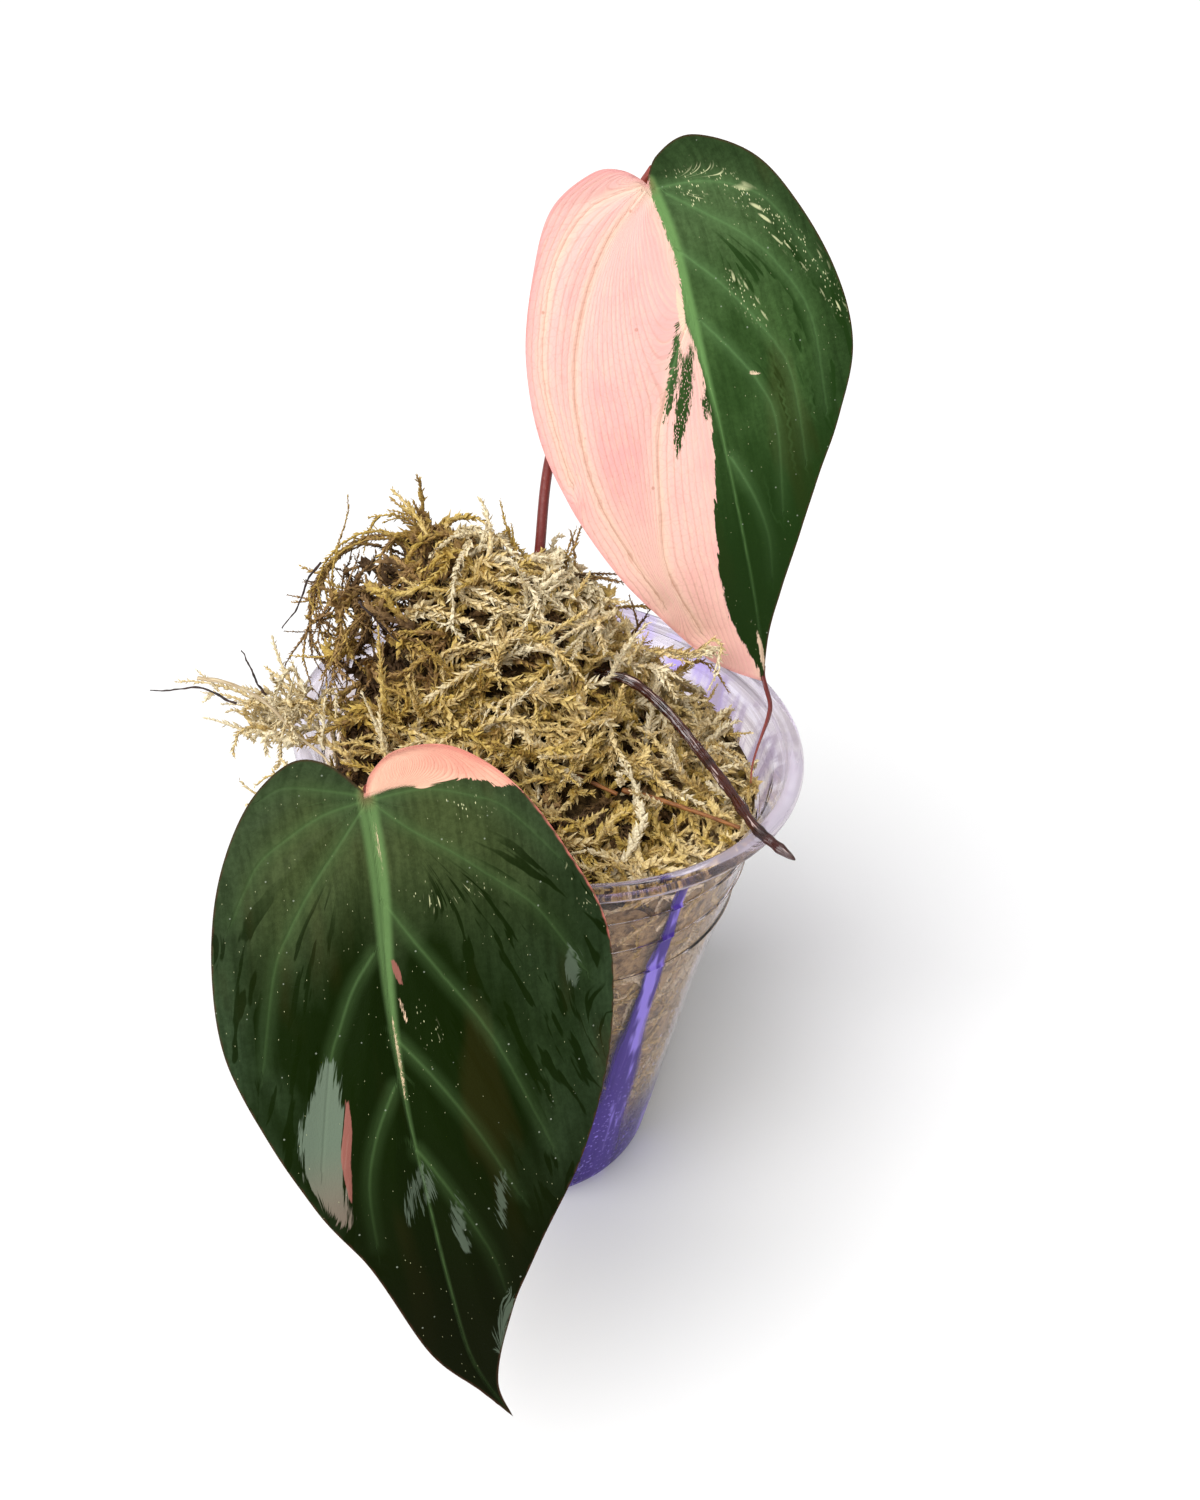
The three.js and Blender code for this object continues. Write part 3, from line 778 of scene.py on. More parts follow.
class BladeSurface(Surface):
    """The node tree of a blade's skin, with the places that the blade's mesh stores, in millimetres."""

    def __init__(self, name: str, length: float) -> None:
        """Reads the places across and along the veins and the distances from the veins and the rim.

        Args:
            name: The material's name.
            length: The blade's length.
        """
        super().__init__(name)
        self.across, self.along = self.attribute("across"), self.attribute("along")
        self.midrib, self.rim = self.attribute("midrib"), self.attribute("rim")
        self.vein = abs(self.attribute("vein")).most(self.attribute("away") - 1.2)
        self.share = self.along * (1 / length)
        self.streaky = self.vector(self.across * 0.7, self.along * 0.1)

    def dots(self, place: Value, scale: float, size: float, share: float) -> Value:
        """Small dots in some of the cells of a pattern.

        Args:
            place: The pattern's coordinates.
            scale: Its scale.
            size: The dots' radius in cells.
            share: The share of the cells that have a dot.

        Returns:
            1 inside a dot.
        """
        cell = self.cells(place, scale, output="Color")
        chosen = self.node("ShaderNodeSeparateColor", inputs={0: cell}, output="Red")
        dot = self.cells(place, scale).ramp(size, size * 0.5)
        return dot * chosen.ramp(1 - share - 0.01, 1 - share + 0.01)


@dataclass(frozen=True)
class LeafSkin:
    """Velvety satin skin of a blade, coloured by what the blade's mesh stores.

    The marked parts, such as the pink part and the stripes, are stored as how far a point lies inside them.
    """

    name: str
    colours: LeafColours
    length: float
    darkens: Spot = (0.12, 0.5)
    dark_reach: Spot = (28.0, 8.0)
    flecks: float = 0.4
    roughness: Spot = (0.35, 0.52)
    line_spacing: float = 1.15

    def build(self) -> Material:
        """Makes the material."""
        colours = self.colours
        blade = BladeSurface(self.name, self.length)
        across, along = blade.across, blade.along
        jag = (blade.drawn(across * 1.5, along * 0.24, 0.0, 3.0, 0.7) - 0.5) * 2.2
        ragged = (blade.drawn(across * 3.2, along * 0.5, 5.0, 2.0, 0.8) - 0.5) * 3.0
        pink = (blade.attribute("pink") + jag).ramp(-0.1, 0.1)
        speckles = blade.dots(blade.vector(across * 2.4, along * 1.2, 1.0), 1.5, 0.4, 0.5)
        stripe = (blade.attribute("stripe") + ragged).ramp(-0.1, 0.15) * (1.0 - speckles)
        sliver = (blade.attribute("sliver") + jag * 0.25).ramp(-0.08, 0.08)
        flash = (blade.attribute("flash") + ragged * 0.3).ramp(-0.08, 0.08)
        above = blade.coats(
            self._green(blade),
            (pink * (1.0 - stripe), self._pink(blade)),
            (sliver * 0.85, colours.dull_pink),
            (flash * 0.85, colours.cream),
        )
        below = blade.coats(
            colours.under_green, (pink, colours.under_pink), (blade.vein.bell(0.8) * 0.5, colours.under_vein)
        )
        under = blade.attribute("under").ramp(0.4, 0.6)
        satin = blade.noise(blade.streaky, 1.0, 3.0).ramp(0.3, 0.7, *self.roughness)
        return blade.plain(
            Base_Color=blade.blend(under, above, below),
            Roughness=satin + under * 0.15,
            Specular_IOR_Level=0.02,
            Normal=blade.bump(self._relief(blade) + blade.grain(2600.0) * 0.1, 0.0003, 0.8),
        )

    def _lines(self, blade: BladeSurface) -> Value:
        """Fine lines that run between the veins, 1 on a line and 0 half way to the next."""
        sway = (blade.drawn(0.0, blade.along * 0.06) - 0.5) * 1.2
        turn = (blade.across + sway) * (2 * math.pi / self.line_spacing)
        return turn.wave() * 0.5 + 0.5

    def _net(self, blade: BladeSurface) -> Value:
        """The fine net of cross veins between the lines, 1 on a vein."""
        stretched = blade.vector(blade.across * 1.1, blade.along * 0.7)
        return blade.cells(stretched, 1.0, "DISTANCE_TO_EDGE").ramp(0.08, 0.0)

    def _relief(self, blade: BladeSurface) -> Value:
        """Height of the skin: sunk veins and, on the pink part, the fine lines between them."""
        groove = blade.vein.bell(0.45) * 0.5 + blade.midrib.bell(0.6) * 0.6
        pink = blade.attribute("pink").ramp(-0.2, 0.2)
        return 0.9 - groove - self._lines(blade) * pink * 0.12 - self._net(blade) * 0.06

    def _green(self, blade: BladeSurface) -> Value:
        """The green part: long dark patches between lighter bands along the veins, with pale dashes."""
        colours, vein, midrib, off = self.colours, blade.vein, blade.midrib, abs(blade.midrib)
        across, along, share = blade.across, blade.along, blade.share
        green = blade.blend(share.ramp(0.02, 0.32), colours.lobe, colours.green)
        # Painted sheen or shade along the margin, as the blade's colours give it.
        green = blade.blend(blade.rim.ramp(10.0, 1.0) * 0.7, green, colours.margin_sheen_shade)
        green = blade.tint(blade.grain(1100.0, 3.0, 0.7).ramp(0.35, 0.65, 0.0, 0.35), green, colours.grain)
        long_streaks = blade.drawn(midrib * 0.8, along * 0.07, 2.0, 3.0, 0.6)
        green = blade.tint(long_streaks.ramp(0.4, 0.66, 0.0, 0.4), green, colours.grain)
        broad = blade.drawn(midrib * 0.12, along * 0.05, 4.0).ramp(0.4, 0.62)
        inner = share.ramp(*self.darkens) * (off + vein.bell(2.5) * 4.0).ramp(*self.dark_reach)
        narrow = blade.drawn(across * 0.5, along * 0.09).ramp(0.56, 0.6)
        spots = narrow * vein.ramp(0.5, 2.0) * share.ramp(0.06, 0.16) * off.ramp(6.0, 9.0)
        rust = blade.drawn(midrib * 0.12, share * 3.0, 7.0).ramp(0.54, 0.7)
        soft = blade.noise(blade.streaky, 3.0, 3.0) * 0.5 + 0.5
        bands = (vein.bell(2.2) * 0.36 * soft + vein.bell(0.5) * 0.36) * blade.attribute("young")
        stem = (off + share.ramp(0.05, 0.55) * 1.45).ramp(2.0, 0.9)
        fingers = blade.drawn(across * 1.5, along * 0.13, 9.0, 3.0, 0.7) - 0.5
        # Painted reflections: pale patches where the wavy skin reflects light, the large low one pinkish.
        pale = (blade.attribute("pale") + fingers * 6.0).ramp(-0.3, 0.4)
        big = blade.attribute("pale").ramp(1.0, 2.2) + abs(midrib + 14.0).ramp(5.0, 4.0)
        low_reflection = blade.blend(share.ramp(0.47, 0.6) * big.least(1.0) * 0.8, colours.pale, colours.low_reflection)
        dashed = blade.vector(midrib * 1.5, along * 0.6)
        scratched = blade.vector(across * 1.5, along * 0.26, 3.0)
        near = blade.attribute("dashes").ramp(-1.2, 0.8)
        scratches = blade.dots(scratched, 1.2, 0.4, self.flecks) * off.ramp(5.0, 8.0)
        edge = blade.blend(blade.attribute("rosy").ramp(-0.2, 0.6), colours.edge, colours.blush)
        return blade.coats(
            green,
            ((broad * 0.45 * share.ramp(0.05, 0.2) + inner).least(0.94), colours.deep),
            (spots * 0.85, colours.deep),
            (rust * 0.2, colours.rust),
            # Painted shade towards the tip.
            (share.ramp(0.4, 0.85) * 0.9, colours.tip),
            (bands * share.ramp(1.0, 0.35, 0.15, 1.0), colours.vein),
            (stem * 0.8 * share.ramp(1.0, 0.6, 0.35, 1.0), colours.midrib),
            (share.ramp(0.03, 0.0) * off.ramp(1.8, 0.4) * 0.6, colours.notch),
            # The painted reflections.
            (pale * big.ramp(0.0, 0.3, 0.5, 0.85), low_reflection),
            (blade.dots(dashed, 2.4, 0.36, self.flecks) * near, colours.fleck),
            (scratches * near * 0.9, colours.fleck),
            (blade.dots(dashed, 1.9, 0.16, 0.06) * 0.7, colours.fleck),
            (blade.dots(blade.place(), 620.0, 0.12, 0.16) * 0.5, colours.speck),
            (blade.rim.ramp(0.5, 0.1) * 0.75, edge),
        )

    def _pink(self, blade: BladeSurface) -> Value:
        """The pink part: blushed between creamy veins, with a fine dark line on each and between them."""
        colours, vein, midrib = self.colours, blade.vein, blade.midrib
        blush = blade.grain(38.0, 3.0).ramp(0.4, 0.62) * vein.bell(5.5).ramp(0.9, 0.2)
        lines = self._lines(blade).ramp(0.8, 1.0) * 0.26 + self._net(blade) * 0.14
        return blade.coats(
            colours.pink,
            (blade.share.ramp(0.2, 0.9), colours.far_pink),
            (blush * 0.6, colours.blush),
            (blade.noise(blade.streaky, 2.4, 3.0).ramp(0.42, 0.7) * 0.25, colours.cream),
            (vein.bell(1.7) * 0.42 + midrib.bell(3.0) * 0.4, colours.cream),
            (blade.rim.ramp(1.1, 0.1) * 0.6, colours.blush),
            (lines * abs(midrib).ramp(2.0, 10.0, 0.2, 1.0), colours.line),
            (blade.dots(blade.place(), 300.0, 0.13, 0.2) * 0.5, colours.line),
            (vein.bell(0.17) * 0.5, colours.line),
        )


# Leaves


class PinkSide(Enum):
    """Where the pink part of a blade lies from its border."""

    LEFT = "left of the border, seen with the tip down"
    BASE = "on the base's side of the border"


@dataclass(frozen=True)
class Streak:
    """A long patch of another colour, given by its middle line and its half width."""

    spots: Outline
    half_width: float

    def inside(self, places: Array) -> Array:
        """How far each place lies inside the patch, negative outside."""
        line = curve(self.spots, 60)
        distance = distances(places, line)
        nearest = distance.argmin(axis=1)
        width = self.half_width * np.sin(np.pi * (0.06 + 0.88 * nearest / (len(line) - 1)))
        return width - distance.min(axis=1)


class Marking(Enum):
    """Kinds of marked patches on a blade, by the name that their depth is stored under."""

    STRIPE = "stripe"
    PALE = "pale"
    FLASH = "flash"
    SLIVER = "sliver"
    ROSY = "rosy"
    DASHES = "dashes"


@dataclass(frozen=True)
class LeafForm:
    """Shape and markings of a leaf. A spot is (along, across) from the notch, with along towards the tip."""

    notch: Point
    tip: Point
    face: Point
    arch: float
    lift: Spot
    droop: Spot
    keel: float
    left: Outline
    right: Outline
    midrib: Outline
    veins: tuple[Outline, ...]
    border: Outline
    pink_side: PinkSide
    markings: dict[Marking, tuple[Streak, ...]]

    def inside(self, marking: Marking, spots: Array) -> Array:
        """How far each spot lies inside the nearest patch of a kind, with -9 where there is none."""
        patches = [streak.inside(spots) for streak in self.markings.get(marking, ())]
        return np.max(patches or [np.full(len(spots), -9.0)], axis=0)


FRONT_LEAF = LeafForm(
    notch=(-25.7, -49.8, 124.5),
    tip=(9.6, -96.9, 34.2),
    face=(0.205, -0.832, 0.515),
    arch=6.0,
    lift=(0.1, 0.12),
    droop=(0.0085, 0.0075),
    keel=0.22,
    left=(
        (0, 0), (-6, -4.7), (-7.4, -10.4), (-2, -18.3), (8.5, -25.1), (21, -29), (34.7, -30.1), (48.6, -26.7),
        (62, -21.8), (74.3, -15.7), (91, -10.4), (100.9, -4.2), (108, 0),
    ),
    right=(
        (0, 0), (-3.1, 1.5), (-5.8, 6.3), (-4.3, 14.9), (3.8, 23.2), (16.3, 29.2), (30.8, 33), (48, 29.4),
        (63.8, 21.2), (77.4, 10.3), (89.9, 2.6), (100.2, -1), (108, 0),
    ),
    midrib=((0, 0), (13.5, -1), (31.5, -3.6), (48, -4.9), (64, -5.1), (80, -5), (95, -4.2), (108, 0)),
    veins=(
        ((0, -1), (-2.2, -6.5), (-3.8, -12.1), (-2.6, -16)),
        ((1, -1), (1.7, -7.4), (4.3, -14), (7.4, -19), (15, -24.6)),
        ((2, -1), (7.4, -6.6), (12.2, -11.5), (17.6, -16), (23.3, -19.8), (38, -25)),
        ((24, -4.5), (28.4, -8.7), (34.1, -12.2), (39.4, -14.9), (56, -20)),
        ((45, -6), (52, -10.5), (60, -13.5), (70, -14.5)),
        ((1, 1.5), (1.2, 8.9), (3.9, 15.8), (7.4, 21), (17.4, 27.7)),
        ((2, 1), (6.7, 5.3), (11.6, 10.8), (16.7, 15.8), (24, 22.2), (36, 27.5)),
        ((17, -1.1), (22.7, 1.5), (28.8, 4.5), (41.8, 10.6), (62, 16)),
        ((38, -4), (46, 0.5), (56, 5), (68, 9)),
        ((56, -5), (64, -1.5), (76, 2.5), (84, 3.5)),
    ),
    border=(
        (0.5, -0.1), (0.2, 2.2), (0, 4), (0.2, 6.9), (1, 8.9), (0.8, 12), (1.3, 16.4), (2.6, 19.2),
        (3.5, 20.1), (3.9, 22.7), (5.5, 24.2),
    ),
    pink_side=PinkSide.BASE,
    markings={
        Marking.ROSY: (Streak(((5.5, 24.6), (16.3, 29.3), (24, 31.8), (34, 33.1)), 1.6),),
        # Painted reflections on the wavy skin.
        Marking.PALE: (
            Streak(((38.5, -14.7), (44.2, -16.6), (50.5, -18.6), (57.2, -19.4), (64.4, -18.1)), 3.3),
            Streak(((31.4, 25.9), (34.4, 25.6), (37.3, 25.3)), 1.2),
            Streak(((58.6, -4.4), (63.1, -7.3), (67.5, -8.5)), 0.8),
            Streak(((59.3, -4.2), (62.8, -4.5), (65.9, -6)), 0.7),
            Streak(((64.4, -0.7), (69.7, -1.3), (74.4, -1.3)), 0.9),
            Streak(((63.5, 7.1), (67.1, 6.2), (71.9, 5.6)), 0.7),
            Streak(((83.9, 4.4), (88.6, 2.3), (94.1, 0.4)), 0.9),
        ),
        Marking.SLIVER: (
            Streak(((44.4, -13.4), (49.2, -14.4), (54.6, -15.9), (61.5, -16.6)), 0.75),
            Streak(((25, -2), (27.2, -1.7), (30.2, -1.3)), 0.5),
        ),
        Marking.FLASH: (
            Streak(((33.7, -3.9), (37.5, -4.1), (41.9, -4.4), (48.6, -4.9)), 0.2),
            Streak(((30.8, -2.4), (33, -2.1), (36.7, -1.8)), 0.2),
            Streak(((1.5, 0.3), (5.6, 0.1), (13, -0.4)), 0.25),
        ),
        Marking.DASHES: (
            Streak(((12.9, 3.3), (15.5, 4.4), (19, 5.9)), 1.2),
            Streak(((2.2, 11), (5, 14.8), (8.6, 19)), 1.6),
            Streak(((19.3, 28.9), (23.2, 30.4), (27.2, 31.9)), 1.4),
            Streak(((33.1, 0.7), (38.8, 1.2), (41.9, 2.2)), 1.0),
            Streak(((18.1, 2.2), (18.4, 15.5)), 0.8),
        ),
    },
)

UPPER_LEAF = LeafForm(
    notch=(5.3, 31.3, 200.0),
    tip=(39.8, 11.7, 115.4),
    face=(0.021, -0.972, 0.233),
    arch=5.0,
    lift=(0.1, 0.08),
    droop=(0.0065, 0.0115),
    keel=0.35,
    left=(
        (0, 0), (-3.2, -3.5), (-4.1, -8.7), (-0.3, -17), (8.9, -22.8), (21.9, -27.9), (36.3, -29.5),
        (49.4, -27.4), (63.2, -22.6), (76, -16), (86.6, -9.2), (93.4, 0),
    ),
    right=(
        (0, 0), (-4, 2.6), (-5.7, 9.2), (-0.1, 18.8), (9.8, 24.7), (22.7, 28.8), (34.8, 29.1), (45.6, 24.4),
        (57.5, 17), (72.4, 8.6), (82.9, 3.3), (93.4, 0),
    ),
    midrib=((0, 0), (9.2, 1.6), (26.3, 2.4), (48.3, 2.8), (77.5, 1.9), (93.4, 0)),
    veins=(
        ((0, -1), (1.1, -10.1), (6.9, -17.4), (15, -22.1), (27.7, -26), (46, -26)),
        ((1, -1), (7.4, -9.2), (16.7, -15.8), (25.9, -19.8), (36.8, -22), (52, -21.5), (72.7, -15)),
        ((24, 1), (32, -4), (42, -8.5), (54.5, -11.1), (66, -12.6), (80, -9.5)),
        ((1, 1.3), (1.7, 8.6), (4.3, 15.2), (9.2, 20.5), (22, 26.2)),
        ((2.2, 2.8), (6.6, 8.1), (12, 14.2), (17.8, 18.5), (28, 22.6), (44, 22)),
        ((12, 3), (18, 8), (26, 13), (36, 17), (52, 16.5)),
        ((24.2, 3.9), (29.8, 7.6), (36.4, 11.1), (44.4, 12.7), (60, 10.5)),
        ((48, 3.5), (56, 6), (64, 7), (72, 6)),
    ),
    border=(
        (2.2, 0.3), (11.9, 1.7), (18.8, 1.6), (22.6, 1), (29.9, 1.8), (39, 1.6), (46.2, 0.7), (50.4, 0.1),
        (56.3, -1.5), (62.3, -2.5), (70.4, -3.4), (78.2, -3.3), (84.6, -2), (90.3, -0.4),
    ),
    pink_side=PinkSide.LEFT,
    markings={
        Marking.STRIPE: (
            Streak(((23, -0.2), (27.8, -1.9), (34.3, -4.3), (39.4, -6.7)), 0.9),
            Streak(((27.1, 1.2), (31.2, -0.4), (37.7, -3), (41.5, -4.6), (45.6, -5.8)), 1.25),
            Streak(((27.5, -1.1), (31.1, -0.8), (35.7, -2.8)), 0.9),
            Streak(((35.4, 2), (38, 1.2), (40.6, 0.7)), 0.7),
        ),
        Marking.FLASH: (
            Streak(((17.5, 0.9), (21.4, 0.7), (25.5, 0.3)), 0.6),
            Streak(((81.4, 1), (85.9, 1), (91.1, 0.6)), 0.4),
            Streak(((34.3, 9.2), (34.6, 10.4), (35.2, 11.8)), 0.25),
        ),
        Marking.DASHES: (
            Streak(((-0.2, 6.6), (1.7, 12.2), (11.3, 19.2), (19.2, 24.8), (26.9, 27.4), (31.4, 29)), 1.7),
            Streak(((16.9, 9.6), (21.4, 11.6), (27.1, 14.5)), 1.4),
            Streak(((-0.5, 4), (2.7, 7.1), (6.6, 7.6)), 1.8),
        ),
    },
)


@dataclass
class Leaf:
    """A heart-shaped blade, quilted between its veins, with ribs underneath."""

    name: str
    form: LeafForm
    colours: LeafColours
    darkens: Spot
    flecks: float
    rows: int = 170
    columns: int = 44
    thickness: float = 0.45
    thin_rim: Spot = (0.45, 0.8)
    lobe_share: float = 0.4
    anchor_power: float = 1.9
    row_bulge: float = 0.1
    pillow: Spot = (0.9, 3.5)
    groove: Spot = (0.15, 0.7)
    rib: Spot = (0.95, 0.75)
    vein: Spot = (0.4, 0.45)
    keel_from: float = 0.7
    line_samples: int = 40
    line_sharpness: float = 4.0
    line_rounds: int = 400

    def __post_init__(self) -> None:
        """Works out the blade's own axes."""
        notch, tip = np.array(self.form.notch), np.array(self.form.tip)
        self.length = float(np.linalg.norm(tip - notch))
        self.along = (tip - notch) / self.length
        face = np.array(self.form.face)
        self.normal = unit(face - face.dot(self.along) * self.along)
        self.across = np.cross(self.normal, self.along)
        self.edges = (self.form.left, self.form.right)

    def _spots(self) -> Array:
        """The flat spots of the blade's grid, in rows that follow the side veins from edge to edge."""
        shares = (np.arange(self.rows) + 1) / self.rows
        start = curve(self.form.midrib, between(shares, self.lobe_share, 1) ** self.anchor_power)
        halves = []
        for edge in self.edges:
            end = curve(edge, shares)
            middle = (start + end) / 2
            middle[:, 0] -= self.row_bulge * np.linalg.norm(end - start, axis=1)
            v = np.linspace(0, 1, self.columns + 1)[None, :, None]
            bow = 2 * v * (1 - v) * middle[:, None]
            halves.append((1 - v) ** 2 * start[:, None] + bow + v**2 * end[:, None])
        return np.concatenate([halves[0][:, :0:-1], halves[1]], axis=1)

    @staticmethod
    def _to_line(spots: Array, line: Array) -> tuple[Array, Array]:
        """Measures spots against a line.

        Args:
            spots: The spots, in rows.
            line: Samples along the line.

        Returns:
            The signed distance from each spot to the line, and the number of its nearest sample.
        """
        distance = distances(spots, line)
        nearest = distance.argmin(axis=1)
        heading = np.gradient(line, axis=0)[nearest]
        away = spots - line[nearest]
        sign = np.sign(heading[:, 0] * away[:, 1] - heading[:, 1] * away[:, 0])
        return distance.min(axis=1) * np.where(sign == 0, 1, sign), nearest

    def _vein_field(self, spots: Array) -> tuple[Array, Array]:
        """The signed distance to the nearest side vein, and its youth there, from 1 at its root to 0.3."""
        samples = 160
        best, young = np.full(len(spots), 1e9), np.ones(len(spots))
        for vein in self.form.veins:
            distance, nearest = self._to_line(spots, curve(vein, samples))
            closer = np.abs(distance) < np.abs(best)
            best = np.where(closer, distance, best)
            young = np.where(closer, 1 - 0.7 * nearest / samples, young)
        return best, young

    def _levels(self) -> tuple[Array, Array]:
        """Samples of the veins and the edges, and the level of the smooth coordinate at each of them."""
        count = self.line_samples
        lines, levels = [curve(self.form.midrib, count)], [np.zeros(count)]
        for side in (-1, 1):
            veins = [curve(vein, count) for vein in self.form.veins if side * vein[-1][1] > 0]
            level, previous = 0.0, lines[0]
            for vein in sorted(veins, key=lambda vein: -vein[0, 0]):
                level += float(distances(vein, previous).min(axis=1).mean())
                lines.append(vein)
                levels.append(np.full(count, side * level))
                previous = vein
        known, known_levels = np.vstack(lines), np.concatenate(levels)
        edges = np.vstack([curve(edge, count) for edge in self.edges])
        distance = distances(edges, known)
        beyond = np.sign(edges[:, 1] + 1e-6) * distance.min(axis=1)
        edge_levels = known_levels[distance.argmin(axis=1)] + beyond
        return np.vstack([known, edges]), np.concatenate([known_levels, edge_levels])

    def _across_field(self, spots: Array, held: Array) -> Array:
        """A smooth coordinate in millimetres, level along each vein, that grows from one vein to the next.

        Args:
            spots: The spots of the grid, row by row.
            held: Whether a spot lies on a vein or on the outline, where the coordinate is fixed.

        Returns:
            The coordinate at each spot.
        """
        known, known_levels = self._levels()
        weight = (distances(spots, known) + 0.05) ** -self.line_sharpness
        level = ((weight * known_levels).sum(axis=1) / weight.sum(axis=1)).reshape(self.rows, -1)
        held = held.reshape(level.shape)
        for _ in range(self.line_rounds):
            wide = np.pad(level, 1, mode="edge")
            mean = (wide[:-2, 1:-1] + wide[2:, 1:-1] + wide[1:-1, :-2] + wide[1:-1, 2:]) / 4
            level = np.where(held, level, mean)
        return level.ravel()

    def _height(self, spots: Array) -> Array:
        """How far the blade stands out of its flat frame at each spot."""
        form = self.form
        lines = [curve(line, 41) for line in (form.midrib, *form.veins)]
        share = np.clip(spots[:, 0] / self.length, 0, 1)
        offset = spots[:, 1] - np.interp(spots[:, 0], *lines[0].T)
        half, reach = (offset >= 0).astype(int), np.abs(offset)
        fold = between(share, self.keel_from, 1)
        fold = form.keel * reach * fold**2 * (3 - 2 * fold)
        bend = form.arch * 4 * share * (1 - share)
        bend = bend + np.array(form.lift)[half] * reach - np.array(form.droop)[half] * reach**2
        height, width = self.pillow
        return bend - fold + height * (1 - peak(distances(spots, np.vstack(lines)).min(axis=1), width))

    def _pink(self, spots: Array) -> Array:
        """How far each spot lies inside the pink part."""
        border = curve(self.form.border, 80)
        if self.form.pink_side is PinkSide.LEFT:
            return np.interp(spots[:, 0], border[:, 0], border[:, 1]) - spots[:, 1]
        inside = np.interp(spots[:, 1], border[:, 1], border[:, 0]) - spots[:, 0]
        past_start = spots[:, 1] - border[0, 1]
        return np.where(past_start > 0, inside, np.minimum(inside, past_start))

    def build(self) -> Piece:
        """Builds the blade and stores what its finish reads."""
        grid = self._spots()
        spots = grid.reshape(-1, 2)
        vein, young = self._vein_field(spots)
        midrib, _ = self._to_line(spots, curve(self.form.midrib, 240))
        outline = np.vstack([curve(edge, 220) for edge in self.edges])
        rim = distances(spots, outline).min(axis=1)
        on_line = (np.abs(vein) < 0.5) | (np.abs(midrib) < 0.5) | (rim < 0.2)
        fields = {"across": self._across_field(spots, on_line), "along": spots[:, 0], "midrib": midrib}
        fields |= {"rim": rim, "vein": vein, "away": np.abs(vein), "young": young, "pink": self._pink(spots)}
        fields |= {marking.value: self.form.inside(marking, spots) for marking in Marking}
        top = self._height(spots) - self.groove[0] * peak(midrib, self.groove[1])
        share = np.clip(spots[:, 0] / self.length, 0, 1)
        ribs = self.rib[0] * peak(midrib, self.rib[1]) * (1 - 0.8 * share)
        ribs = np.maximum(ribs, self.vein[0] * young * peak(vein, self.vein[1])) * between(rim, 0, 1.5)
        least, rim_width = self.thin_rim
        thin = self.thickness * (least + (1 - least) * between(rim, 0, rim_width))
        flat = np.array(self.form.notch) + spots[:, :1] * self.along + spots[:, 1:] * self.across
        sides = [flat + height[:, None] * self.normal for height in (top, top - thin - ribs)]
        finish = LeafSkin(f"{self.name}_skin", self.colours, self.length, self.darkens, flecks=self.flecks)
        made = add_mesh(self.name, np.vstack(sides), self._faces(grid.shape[1]), finish.build())
        for name, values in fields.items():
            store(made, name, np.tile(values, 2))
        store(made, "under", np.repeat([0.0, 1.0], len(spots)))
        return weld(made, 50.0)

    def _faces(self, wide: int) -> list[Face]:
        """Faces of both sides of the blade and of its rim, from the points in a row."""
        top, below = grid_faces(self.rows, wide), self.rows * wide
        faces = [face[::-1] for face in top] + [tuple(corner + below for corner in face) for face in top]
        rim = [(j, j + 1) for j in range(wide - 1)]
        rim += [((i + 1) * wide, i * wide) for i in range(self.rows - 1)]
        rim += [((i + 1) * wide - 1, (i + 2) * wide - 1) for i in range(self.rows - 1)]
        return faces + [(start, end, end + below, start + below) for start, end in rim]


# Cup


def lathe(name: str, profile: Sequence[Spot], material: Material, sides: int = 160) -> Piece:
    """A solid turned round the Z axis.

    Args:
        name: The object's name.
        profile: Spots of (radius, height) that start and end on the axis.
        material: Its finish.
        sides: Points round each ring.

    Returns:
        The object.
    """
    outline = np.array(profile)
    rings = around_axis(outline[:, :1], full_turn(sides), outline[:, 1:])
    made = add_mesh(name, rings.reshape(-1, 3), grid_faces(len(outline), sides, True), material)
    return weld(made, 40.0)


